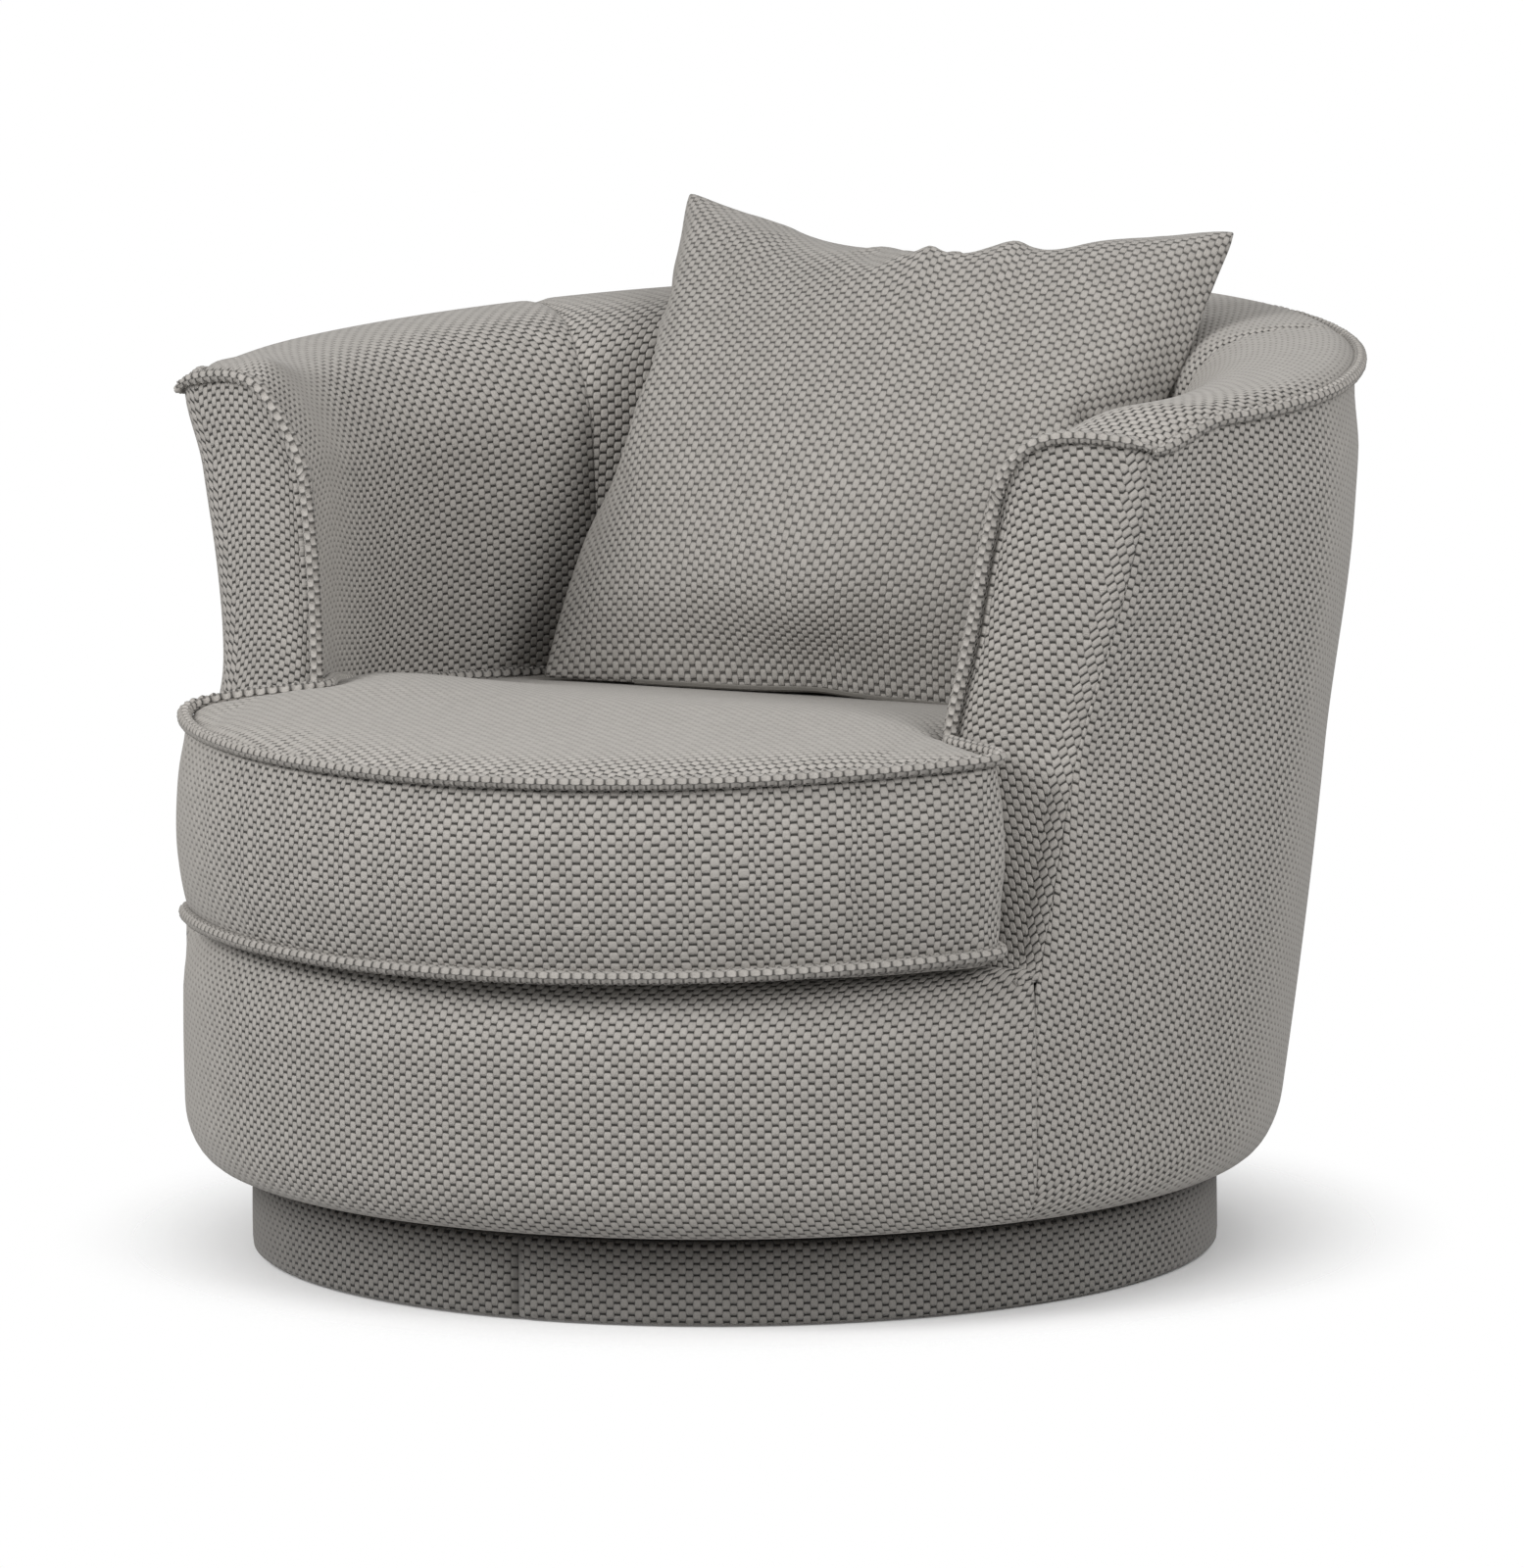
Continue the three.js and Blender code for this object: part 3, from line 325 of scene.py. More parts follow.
def add_node(tree, kind, inputs, **settings):
    """A new node, to the right of those before it, with its settings and inputs."""
    node = tree.nodes.new(kind)
    node.location.x = NODE_STEP * len(tree.nodes)
    for key, value in settings.items():
        setattr(node, key, value)
    feed(tree, node, inputs)
    return node


def math_node(tree, operation, *values):
    return add_node(tree, "ShaderNodeMath", dict(enumerate(values)), operation=operation).outputs[0]


def smooth_range(tree, value, low, high, start, end):
    """Runs softly from start to end while the value runs from low to high."""
    limits = {"Value": value, "From Min": low, "From Max": high, "To Min": start, "To Max": end}
    return add_node(tree, "ShaderNodeMapRange", limits, interpolation_type="SMOOTHSTEP").outputs[0]


def mix_color(tree, factor, first, second):
    return add_node(tree, "ShaderNodeMix", {0: factor, 6: first, 7: second}, data_type="RGBA").outputs[2]


def new_group(name, inputs, outputs):
    """A shader group that gives numbers; an input without a number of its own is a vector."""
    group = bpy.data.node_groups.new(name, "ShaderNodeTree")
    for label, number in inputs.items():
        kind = "NodeSocketVector" if number is None else "NodeSocketFloat"
        socket = group.interface.new_socket(name=label, in_out="INPUT", socket_type=kind)
        if number is not None:
            socket.default_value = number
    for label in outputs:
        group.interface.new_socket(name=label, in_out="OUTPUT", socket_type="NodeSocketFloat")
    return group, group.nodes.new("NodeGroupInput"), group.nodes.new("NodeGroupOutput")


def shared_group(name, build):
    """The node group of this name, built the first time that it's asked for."""
    return bpy.data.node_groups.get(name) or build(name)


BOBBLE_HALF_WIDTH, BOBBLE_SIDE_POWER = 0.585, 4.6
BOBBLE_HALF_LENGTH, BOBBLE_END_POWER = 0.445, 3.0


def bobble_group(name):
    """The height of one bobble: Side is how far off its middle in columns, End how far along in bobbles."""
    group, given, result = new_group(name, {"Side": 0.0, "End": 0.0}, ("Height",))
    left = 1.0
    for label, half, power in (
        ("Side", BOBBLE_HALF_WIDTH, BOBBLE_SIDE_POWER),
        ("End", BOBBLE_HALF_LENGTH, BOBBLE_END_POWER),
    ):
        share = math_node(group, "DIVIDE", given.outputs[label], half)
        left = math_node(group, "SUBTRACT", left, math_node(group, "POWER", share, power))
    height = math_node(group, "SQRT", math_node(group, "MAXIMUM", left, 0.0))
    feed(group, result, {"Height": height})
    return group


DRIFT_SCALE, FUZZ_SCALE = 120, 1100
PIT_BOTTOM, PIT_TOP = 0.16, 0.66
FUZZ_HEIGHT = 0.22
# The bobble share lightens the tone towards each bobble's top, painted shade down its sides; the fibre and
# cell shares are the yarn's own random tone
BOBBLE_SHADE_SHARE, TONE_OF_FIBRE, TONE_OF_CELL = 0.35, 0.45, 0.25


def weave_group(name):
    """Raised bobbles in columns, each column half a bobble off the next, with a pit between; the tone darkens
    down each bobble's sides as painted shade.
    """
    inputs = {"Vector": None, "Column": 0.0058, "Bobble": 0.0094, "Unevenness": 0.0005}
    group, given, result = new_group(name, inputs, ("Pit", "Height", "Tone and shade"))
    place = given.outputs["Vector"]

    def number(operation, *values):
        return math_node(group, operation, *values)

    def vector(operation, inputs):
        return add_node(group, "ShaderNodeVectorMath", inputs, operation=operation).outputs[0]

    def noise(kind, inputs):
        return add_node(group, kind, inputs, noise_dimensions="2D").outputs

    def from_middle(value):
        return number("ABSOLUTE", number("SUBTRACT", number("FRACT", value), 0.5))

    drift = noise("ShaderNodeTexNoise", {"Vector": place, "Scale": DRIFT_SCALE, "Detail": 1})
    centred = vector("SUBTRACT", {0: drift["Color"], 1: (0.5, 0.5, 0.5)})
    pushed = vector("SCALE", {0: centred, "Scale": given.outputs["Unevenness"]})
    split = add_node(group, "ShaderNodeSeparateXYZ", {0: vector("ADD", {0: place, 1: pushed})})
    across = number("DIVIDE", split.outputs["X"], given.outputs["Column"])
    column = number("FLOOR", across)
    odd = number("MULTIPLY", number("FLOORED_MODULO", column, 2.0), 0.5)
    along = number("ADD", number("DIVIDE", split.outputs["Y"], given.outputs["Bobble"]), odd)
    side, end = from_middle(across), from_middle(along)
    form = shared_group("Bobble", bobble_group)
    inputs = {"Side": side, "End": end}
    own = add_node(group, "ShaderNodeGroup", inputs, node_tree=form).outputs[0]
    inputs = {"Side": number("SUBTRACT", 1.0, side), "End": number("SUBTRACT", 0.5, end)}
    beside = add_node(group, "ShaderNodeGroup", inputs, node_tree=form).outputs[0]
    bobble = number("MAXIMUM", own, beside)
    fuzz = noise("ShaderNodeTexNoise", {"Vector": place, "Scale": FUZZ_SCALE, "Detail": 3})["Fac"]
    cell = add_node(group, "ShaderNodeCombineXYZ", {0: column, 1: number("FLOOR", along)}).outputs[0]
    speck = noise("ShaderNodeTexWhiteNoise", {"Vector": cell})["Value"]
    fibre = number("MULTIPLY_ADD", fuzz, TONE_OF_FIBRE, number("MULTIPLY", speck, TONE_OF_CELL))
    feed(group, result, {
        "Pit": smooth_range(group, bobble, PIT_BOTTOM, PIT_TOP, 1, 0),
        "Height": number("MULTIPLY_ADD", fuzz, FUZZ_HEIGHT, bobble),
        # Painted shade: the tone falls with each bobble's height; the fibre and speck tones vary at random
        "Tone and shade": number("MULTIPLY_ADD", bobble, BOBBLE_SHADE_SHARE, fibre),
    })
    return group


def new_material(name):
    material = bpy.data.materials.new(name)
    material.use_nodes = True
    return material, material.node_tree, material.node_tree.nodes.get("Principled BSDF")


def object_place(tree):
    return add_node(tree, "ShaderNodeTexCoord", {}).outputs["Object"]


def group_node(tree, name, build, inputs):
    return add_node(tree, "ShaderNodeGroup", inputs, node_tree=shared_group(name, build)).outputs


def noise_node(tree, scale, detail):
    """Noise over the place on the object."""
    inputs = {"Vector": object_place(tree), "Scale": scale, "Detail": detail}
    return add_node(tree, "ShaderNodeTexNoise", inputs).outputs["Fac"]


def add_bump(tree, shader, height, strength, distance):
    inputs = {"Strength": strength, "Distance": distance, "Height": height}
    feed(tree, shader, {"Normal": add_node(tree, "ShaderNodeBump", inputs).outputs[0]})


def shaded(color, share):
    return tuple(part * share for part in color)


CLOUD_SHARE, CLOUD_SHADE = 0.16, 0.72
# At a glancing angle the pits close up and the yarn is mixed towards the dark yarn as painted shade
GRAZING_START, GRAZING_END, GRAZING_LEFT = 0.5, 0.83, 0.3
GRAZING_SHARE, GRAZING_SHADE = 0.7, 0.95


def weave_material(name, settings, shade=1.0, column=None, depth=1.0):
    """Pale bobbles over dark pits; the pits' darkness and the dark sides of the bobbles are painted shade
    over the yarn's own tone, and seen at a glancing angle the pits and bobbles run together under a painted
    shade.
    """
    material, tree, shader = new_material(name)
    weave = group_node(tree, "Bobble weave", weave_group, {
        "Vector": add_node(tree, "ShaderNodeUVMap", {}, uv_map=WEAVE_UV).outputs[0],
        "Column": column or settings.column_width,
        "Bobble": settings.bobble_length,
        "Unevenness": settings.unevenness,
    })
    light, dark = shaded(settings.yarn_light, shade), shaded(settings.yarn_dark_and_shade, shade)
    yarn = mix_color(tree, weave["Tone and shade"], dark, light)
    cloud = math_node(tree, "MULTIPLY", noise_node(tree, 5, 2), CLOUD_SHARE)
    yarn = mix_color(tree, cloud, yarn, shaded(dark, CLOUD_SHADE))
    grazing = add_node(tree, "ShaderNodeLayerWeight", {"Blend": 0.5}).outputs["Facing"]
    open_share = smooth_range(tree, grazing, GRAZING_START, GRAZING_END, 1, GRAZING_LEFT)
    # Painted shade where the cloth is seen at a glancing angle
    painted_grazing_shade = math_node(tree, "MULTIPLY", math_node(tree, "SUBTRACT", 1.0, open_share), GRAZING_SHARE)
    yarn = mix_color(tree, painted_grazing_shade, yarn, shaded(dark, GRAZING_SHADE))
    # Painted shade deep in the pits between bobbles, over the darker yarn there
    sunk = math_node(tree, "MULTIPLY", math_node(tree, "MULTIPLY", weave["Pit"], depth), open_share)
    feed(tree, shader, {
        "Base Color": mix_color(tree, sunk, yarn, shaded(settings.pit_shade_color, shade)),
        "Roughness": 0.95,
        "Specular IOR Level": 0.15,
        "Sheen Weight": 0.1,
        "Sheen Roughness": 0.6,
    })
    add_bump(tree, shader, weave["Height"], open_share, 0.003)
    return material


# Tub upholstery

RIDGE_REACH = 20.0
RIDGE_TURN = 2.7
FOOT_TURN_IN, FOOT_TURN_UP = 14.0, 3.0
PANEL_CROWN = 2.5
FRONT_LIP = 26.0
ROLL_AT_SEAM, ROLL_RUN = 0.15, 42.0
CREST_SCALE, CREST_FOOT, CREST_FOOT_BACK, CREST_ROUNDS = 15.0, -3.4, 1.2, 24
FACING_COLUMNS, RIDGE_COLUMNS = 26, 7
FACING_CROWN, FACING_CREASE = 7.5, 4.6
PAD_TOP_LENGTH, PAD_ROUNDS = 190.0, 30
PAD_SWELL_RUN, PAD_EDGE_RUN, PAD_EDGE_SHARE = 75.0, 26.0, 0.35
SEAM_WIDTH = 7.0


def front_edge(height, q):
    """Across the soft ridge: q runs from 0 on the arm front to 1 on the shell."""
    height = np.asarray(height, float)
    ridge = wall(FACE_ANGLE, 1, 0, height)
    inner = wall(FACE_ANGLE, 0, 0, height)
    toward = inner - ridge
    toward /= np.linalg.norm(toward, axis=-1, keepdims=True)
    face = ridge + toward * RIDGE_REACH
    panel = polar(BODY_RADIUS - tuck_in(height), SEAM_ANGLE - RIDGE_TURN, height)
    above = ease((height - SEAT_LEVEL + 6) / 24)[..., None]
    start = panel * (1 - above) + face * above
    shell = wall(FACE_ANGLE + RIDGE_TURN, 1, 0, height)
    q = np.asarray(q, float)[..., None]
    return (1 - q) ** 2 * start + 2 * q * (1 - q) * ridge + q ** 2 * shell


def mirrored(points):
    return points * np.array([-1.0, 1, 1])


def tuck_heights():
    """Heights up the turned-in foot of the tub, closest together at the floor end."""
    return BODY_FOOT + TUCK_HEIGHT * (1 - np.cos(np.linspace(0, math.pi / 2, 10)))


def shell_surface():
    """Rows from the turned-in foot up to the rim, columns from the right ridge round to the left."""
    heights = np.concatenate([
        tuck_heights(),
        np.linspace(BODY_FOOT + TUCK_HEIGHT, RIM_HEIGHT, 60)[1:],
    ])
    share = (heights - BODY_FOOT) / (RIM_HEIGHT - BODY_FOOT)
    turned = np.concatenate([
        FACE_ANGLE + RIDGE_TURN + (PAD_SEAM_ANGLE - FACE_ANGLE - RIDGE_TURN) * np.linspace(0, 1, 44),
        np.linspace(PAD_SEAM_ANGLE, HALF, 26)[1:],
    ])
    columns = []
    for q in np.linspace(0.5, 1, 9)[:-1]:
        top = EAR_HEIGHT - 2
        level = BODY_FOOT + share * (top - BODY_FOOT)
        line = front_edge(level, np.full(level.shape, q))
        groove = SEAM_GROOVE * math.exp(-((q - 0.5) / 0.12) ** 2)
        groove = groove * (1 - 0.6 * ease((level - SEAT_LEVEL) / 30))
        radius = np.hypot(line[:, 0], line[:, 1])
        line[:, :2] *= ((radius - groove) / radius)[:, None]
        columns.append(line)
    for sweep in turned:
        top = rim_at(sweep) - 2
        level = BODY_FOOT + share * (top - BODY_FOOT)
        columns.append(wall(sweep, 1, 0, level))
    right = np.stack(columns, 1)
    grid = np.concatenate([right, mirrored(right[:, -2::-1])], 1)
    foot = grid[:1].copy()
    foot[..., :2] *= 1 - FOOT_TURN_IN / 430
    foot[..., 2] += FOOT_TURN_UP
    return np.concatenate([foot, grid])


def shell_uv(points):
    """Cloth wrapped round the flaring shell from the middle of the back, so its rows rise to the front."""
    uv = unrolled_uv(points)
    uv[..., 1] = uv[:, uv.shape[1] // 3, 1][:, None]
    flare = math.atan2(SHELL_HEAD_RADIUS - SHELL_FOOT_RADIUS, SHELL_HEAD_HEIGHT - SHELL_FOOT_HEIGHT)
    uv[..., 1] -= CLOTH_SWEEP * uv[..., 0] ** 2 * math.sin(flare) / (SHELL_FOOT_RADIUS + SHELL_HEAD_RADIUS)
    return uv


def front_surface():
    """Rows from the turned-in foot up over the front edge, columns from the left seam to the right one."""
    tuck = tuck_heights()
    profile = [(BODY_RADIUS - TUCK_DEPTH - FOOT_TURN_IN, BODY_FOOT + FOOT_TURN_UP)]
    profile += [(BODY_RADIUS - float(tuck_in(z)), z) for z in tuck]
    profile += [(BODY_RADIUS, z) for z in np.linspace(tuck[-1], DECK_TOP - ROLL_TALL, 18)[1:]]
    profile += [
        (BODY_RADIUS - FRONT_ROLL * (1 - math.cos(a)), DECK_TOP - ROLL_TALL * (1 - math.sin(a)))
        for a in np.linspace(0, math.pi / 2, 9)[1:]
    ]
    profile += [(BODY_RADIUS - FRONT_ROLL - FRONT_LIP, DECK_TOP - 1)]
    profile = np.array(profile)
    angles = np.concatenate([
        np.linspace(-SEAM_ANGLE, -SEAM_ANGLE + 3, 8)[:-1],
        np.linspace(-SEAM_ANGLE + 3, SEAM_ANGLE - 3, 96),
        np.linspace(SEAM_ANGLE - 3, SEAM_ANGLE, 8)[1:],
    ])
    away = (SEAM_ANGLE - np.abs(angles)) * math.pi / HALF * BODY_RADIUS
    groove = SEAM_GROOVE * np.exp(-(away / 5) ** 2)
    middle = np.clip((profile[:, 1] - BODY_FOOT) / (DECK_TOP - BODY_FOOT), 0, 1)
    full = PANEL_CROWN * np.sin(np.pi * middle)
    inset = BODY_RADIUS - profile[:, :1]
    roll = ROLL_AT_SEAM + (1 - ROLL_AT_SEAM) * ease(away / ROLL_RUN)
    held = np.where(profile[:, 1:] > tuck[-1], roll[None], 1)
    radius = BODY_RADIUS - inset * held + full[:, None] * ease(away / 60)[None] - groove[None]
    return polar(radius, angles[None], profile[:, 1:])


def unrolled_uv(points):
    """Length across the columns and up the rows of a grid of points."""
    across = np.linalg.norm(np.diff(points, axis=1), axis=-1)
    up = np.linalg.norm(np.diff(points, axis=0), axis=-1)
    u = np.concatenate([np.zeros((len(points), 1)), np.cumsum(across, 1)], 1)
    u -= u[:, u.shape[1] // 2][:, None]
    v = np.concatenate([np.zeros((1, points.shape[1])), np.cumsum(up, 0)], 0)
    return np.stack([u, v], -1)


def crest_height(across, sweep):
    """Height of the crest over the wall, which stands up most over the rim at the arm fronts."""
    back = float(ease((min(sweep, TURN - sweep) - FACE_ANGLE) / CREST_RUN_DOWN))
    table = sorted((share, rise + (rear - rise) * back) for (share, rise), rear in zip(CREST, CREST_BACK))
    shares, rises = zip(*table)
    dense = np.linspace(0, 1, 101)
    rise = np.interp(dense, [0.0, *shares], [CREST_FOOT + CREST_FOOT_BACK * back, *rises])
    return float(rim_at(sweep)) + CREST_SCALE * np.interp(across, dense, smooth_line(rise, CREST_ROUNDS))


def facing_surface():
    """The right arm front: rows up from the seat, columns from the inner edge to the ridge."""
    rows = np.linspace(0, 1, 74) ** 0.92
    foot = SEAT_LEVEL + 2
    columns = []
    reach = np.linalg.norm(wall(FACE_ANGLE, 0, 0, 500.0) - wall(FACE_ANGLE, 1, 0, 500.0))
    last = 1 - RIDGE_REACH / reach
    across = np.linspace(0, 1, FACING_COLUMNS)
    for t in across:
        level = foot + rows * (crest_height(t * last, FACE_ANGLE) - 3 - foot)
        start = wall(FACE_ANGLE, 0, 0, level)
        end = front_edge(level, np.zeros(level.shape))
        columns.append(start + (end - start) * t)
    for q in np.linspace(0, 0.5, RIDGE_COLUMNS + 1)[1:]:
        level = foot + rows * (crest_height(last + (1 - last) * q * 2, FACE_ANGLE) - 3 - foot)
        columns.append(front_edge(level, np.full(level.shape, q)))
    grid = np.stack(columns, 1)
    normal = grid_normals(grid)
    normal *= np.where(normal[..., 1:2] > 0, -1, 1)
    full = np.concatenate([np.sin(np.pi * across ** 0.9) ** 1.1, np.zeros(RIDGE_COLUMNS)])
    lean = np.clip(1 - rows ** 7, 0, 1)
    crease = FACING_CREASE * np.exp(-(np.linspace(0, 1, grid.shape[1]) / 0.09) ** 2)
    depth = FACING_CROWN * full[None] * lean[:, None] - crease[None]
    depth += wobble(grid, 130, 0.8, 5) * full[None]
    return grid + normal * depth[..., None]


def facing_uv(points, degrees):
    """The cloth of an arm front, cut with its rows turned by some degrees."""
    uv = unrolled_uv(points)
    turn = math.radians(degrees)
    u, v = uv[..., 0], uv[..., 1]
    return np.stack([u * math.cos(turn) + v * math.sin(turn), v * math.cos(turn) - u * math.sin(turn)], -1)


def pad_profile(sweep, count_side=44, count_top=34):
    """From the seat up the inside of the wall and over the crest to the rim, as across and height."""
    shares = np.linspace(0, 1, 60)
    top = np.stack([shares, crest_height(shares, sweep)], -1)
    side_heights = np.linspace(DECK_TOP + 3, top[0, 1], 50)[:-1]
    side = np.stack([np.zeros(len(side_heights)), side_heights], -1)
    line = np.concatenate([side, top])
    scaled = smooth_line(line * np.array([100.0, 1.0]), PAD_ROUNDS)
    scaled[-1, 1] = float(rim_at(sweep)) + 3
    length = arc_length(scaled)
    at = np.concatenate([
        np.linspace(0, length[-1] - PAD_TOP_LENGTH, count_side)[:-1],
        np.linspace(length[-1] - PAD_TOP_LENGTH, length[-1], count_top),
    ])
    return np.stack([np.interp(at, length, scaled[:, 0]) / 100, np.interp(at, length, scaled[:, 1])], -1)


def pad_surface(start, end, columns, seed, full, crease_start, crease_end):
    """A pad of the inside between two seams: full in its middle, drawn in along the seams and the rim."""
    sweeps = start + (end - start) * (1 - np.cos(np.linspace(0, math.pi, columns))) / 2
    sweeps = 0.5 * sweeps + 0.5 * np.linspace(start, end, columns)
    lines = []
    for sweep in sweeps:
        profile = pad_profile(float(sweep))
        lines.append(wall(sweep, profile[:, 0], 0, profile[:, 1]))
    grid = np.stack(lines, 1)
    normal = grid_normals(grid)
    middle = normal[20, columns // 2] @ (INSIDE_MIDDLE - grid[20, columns // 2])
    if middle < 0:
        normal = -normal
    along = unrolled_uv(grid)
    u = along[..., 0] - along[:, :1, 0]
    width = u[:, -1:]
    v = along[..., 1]
    tall = v[-1:]
    swell = ease(u / PAD_SWELL_RUN) * ease((width - u) / PAD_SWELL_RUN)
    swell_edge = ease(u / PAD_EDGE_RUN) * ease((width - u) / PAD_EDGE_RUN)
    swell = PAD_EDGE_SHARE * swell_edge + (1 - PAD_EDGE_SHARE) * swell
    rise = ease((tall - v - 60) / 130) * ease((v + 20) / 80)
    crease = crease_start * np.exp(-(u / SEAM_WIDTH) ** 2)
    crease = crease + crease_end * np.exp(-((width - u) / SEAM_WIDTH) ** 2)
    edge = 2.5 * np.exp(-((tall - v) / 8) ** 2)
    depth = full * swell * rise - crease - edge + wobble(grid, 170, 1.5, seed) * swell * rise
    return grid + normal * depth[..., None]


def solid_sheet(name, grid, uv, material, body, replaces, thickness, flip=False):
    """A cover of some thickness over a grid of points, which leans first if it's a cover of the tub."""
    if body == TUB:
        grid = settled(grid)
    piece = mesh_object(name, grid, grid_faces(*grid.shape[:2], flip=flip), uv, material)
    thicken(piece, thickness)
    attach(piece, body)
    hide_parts(*replaces)
    return piece


def outward(grid, target):
    """True when the grid's own faces look towards the target."""
    row, column = grid.shape[0] // 2, grid.shape[1] // 2
    normal = np.cross(grid[row, column + 1] - grid[row, column], grid[row + 1, column] - grid[row, column])
    return float(normal @ (target - grid[row, column])) > 0


# Piping

PIPE = 5.2
CORD_STEPS, CORD_COLUMNS = 18, 6
BEAD_LENGTH, BEAD_HEIGHT = 9.4, 1.0
CORD_END, CORD_TAPER = 0.55, 26.0
CORD_SPACING = 2.35


def cord_object(name, path, material, seed, closed=False):
    """A sewn cord along a line, with a bead for each bobble, thinner where it runs into another one."""
    count = len(path)
    if closed:
        tangent = np.roll(path, -1, 0) - np.roll(path, 1, 0)
    else:
        tangent = np.gradient(path, axis=0)
    tangent /= np.linalg.norm(tangent, axis=1, keepdims=True)
    side = np.cross(tangent, [0, 0, 1.0])
    for i in range(count):
        if np.linalg.norm(side[i]) < 0.25:
            side[i] = side[i - 1] if i else np.array([1.0, 0, 0])
    for _ in range(3):
        side[1:-1] = (side[:-2] + side[1:-1] + side[2:]) / 3
    side -= tangent * np.sum(side * tangent, 1, keepdims=True)
    side /= np.linalg.norm(side, axis=1, keepdims=True)
    other = np.cross(side, tangent)
    length = arc_length(np.vstack([path, path[:1]]) if closed else path)
    size = np.full(count, PIPE)
    if not closed:
        from_end = np.minimum(length, length[-1] - length)
        size *= CORD_END + (1 - CORD_END) * ease(from_end / CORD_TAPER)
    turned = np.linspace(0, 2 * math.pi, CORD_STEPS, endpoint=False)
    around = np.cos(turned)[None, :, None] * side[:, None] + np.sin(turned)[None, :, None] * other[:, None]
    grid = path[:, None] + around * size[:, None, None]
    column = np.arange(CORD_STEPS) // (CORD_STEPS // CORD_COLUMNS)
    beads = np.cos(2 * math.pi * length[:count, None] / BEAD_LENGTH + math.pi * column[None])
    grid = grid + around * (wobble(grid, 24, 0.25, seed) + BEAD_HEIGHT * beads)[..., None]
    index = np.arange(count * CORD_STEPS).reshape(count, CORD_STEPS)
    following = np.roll(index, -1, 0) if closed else index[1:]
    current = index if closed else index[:-1]
    quads = np.stack([current, np.roll(current, -1, 1), np.roll(following, -1, 1), following], -1)
    faces = [*quads.reshape(-1, 4)]
    corner = []
    girth = np.linspace(0, 2 * math.pi * PIPE, CORD_STEPS + 1)
    for start, stop in zip(length[:-1], length[1:]):
        for low, high in zip(girth[:-1], girth[1:]):
            corner += [(low, start), (high, start), (high, stop), (low, stop)]
    if not closed:
        faces += [index[0][::-1], index[-1]]
        corner += [(0, 0)] * (2 * CORD_STEPS)
    mesh = new_mesh(name, in_frame(grid.reshape(-1, 3)), faces)
    add_cloth_layer(mesh, np.array(corner, float))
    mesh.shade_smooth()
    mesh.materials.append(material)
    return linked(name, mesh)


def facing_cord_path():
    """Up the inner edge of the right arm front and over its crest to the ear."""
    profile = pad_profile(FACE_ANGLE, 60, 60)
    profile = profile[profile[:, 1] > DECK_TOP + 6]
    line = wall(FACE_ANGLE - 0.15, profile[:, 0], 0, profile[:, 1])
    inward = line.copy()
    inward[:, 2] = 0
    inward /= np.linalg.norm(inward, axis=1, keepdims=True)
    level = ease((profile[:, 0] - 0.02) / 0.2)[:, None]
    line = line - inward * 1.2 * (1 - level) + np.array([0, 0, 1.0]) * 1.2 * level
    return even_spaced(smooth_line(line, 6), CORD_SPACING)


def rim_cord_path():
    """Along the top of the outer cover from ear to ear, a little lower and further out round the back."""
    sweeps = np.linspace(FACE_ANGLE, TURN - FACE_ANGLE, 900)
    back = ease((np.minimum(sweeps, TURN - sweeps) - FACE_ANGLE - 4) / 14)
    return even_spaced(wall(sweeps, 1, 1.4 + 1.4 * back, rim_at(sweeps) + 1.5 - 3.5 * back), CORD_SPACING)


# Seat cushion

CUSHION_FOOT, CUSHION_HEAD = 293.0, 447.0
CUSHION_DROP, CUSHION_LEVEL = 48.0, 170.0
FLAT_CROWN, FLAT_CROWN_REACH = 18.0, 10.0
CUSHION_FRONT, CUSHION_CORNER, CUSHION_NECK, CUSHION_REAR = 446.0, 60.2, 325.0, 336.6
SEAM_INSET, SEAM_HOLD = 8.0, 7.5
BORDER_SWELL, BORDER_HEIGHT = 6.0, 146.0
SEAT_TURN = 0.9
FOOT_TUCK, TUCK_REACH = 9.0, 60.0
COVER_GRAIN, QUICK_GRAIN = 9.0, 14.0
FILL_LIMIT = 26.0
BATCH = 4000


def softened(line, firm, soft):
    """A closed line with its corners smoothed, most at the outer corner before the left arm."""
    outer = ease((np.linalg.norm(line[:, :2], axis=1, keepdims=True) - 365) / 50)
    share = ease(-line[:, :1] / 200) * outer
    return smooth_line(line, firm, closed=True) * (1 - share) + smooth_line(line, soft, closed=True) * share


def seat_outline():
    """The loop of the seat cushion's border, starting at the middle of the back."""
    front = [(CUSHION_FRONT, a) for a in np.linspace(0, CUSHION_CORNER - 2.1, 40)]
    lug = [(r, CUSHION_CORNER) for r in np.linspace(CUSHION_FRONT - 16, CUSHION_NECK + 9, 8)]
    rear = []
    for angle in np.linspace(CUSHION_CORNER + 1.6, HALF, 60):
        share = float(ease((angle - CUSHION_CORNER) / 30))
        rear.append((CUSHION_NECK + share * (CUSHION_REAR - CUSHION_NECK), angle))
    right = np.array([*front, *lug, *rear])
    right = polar(right[:, 0], right[:, 1], 0)
    loop = np.concatenate([right, mirrored(right[1:-1][::-1])])
    loop = np.roll(loop, 1 - len(right), 0)
    turn = np.radians(SEAT_TURN)
    loop = loop @ np.array([[np.cos(turn), np.sin(turn), 0], [-np.sin(turn), np.cos(turn), 0], [0, 0, 1]])
    return softened(even_spaced(loop, 6.0, closed=True), 7, 34)


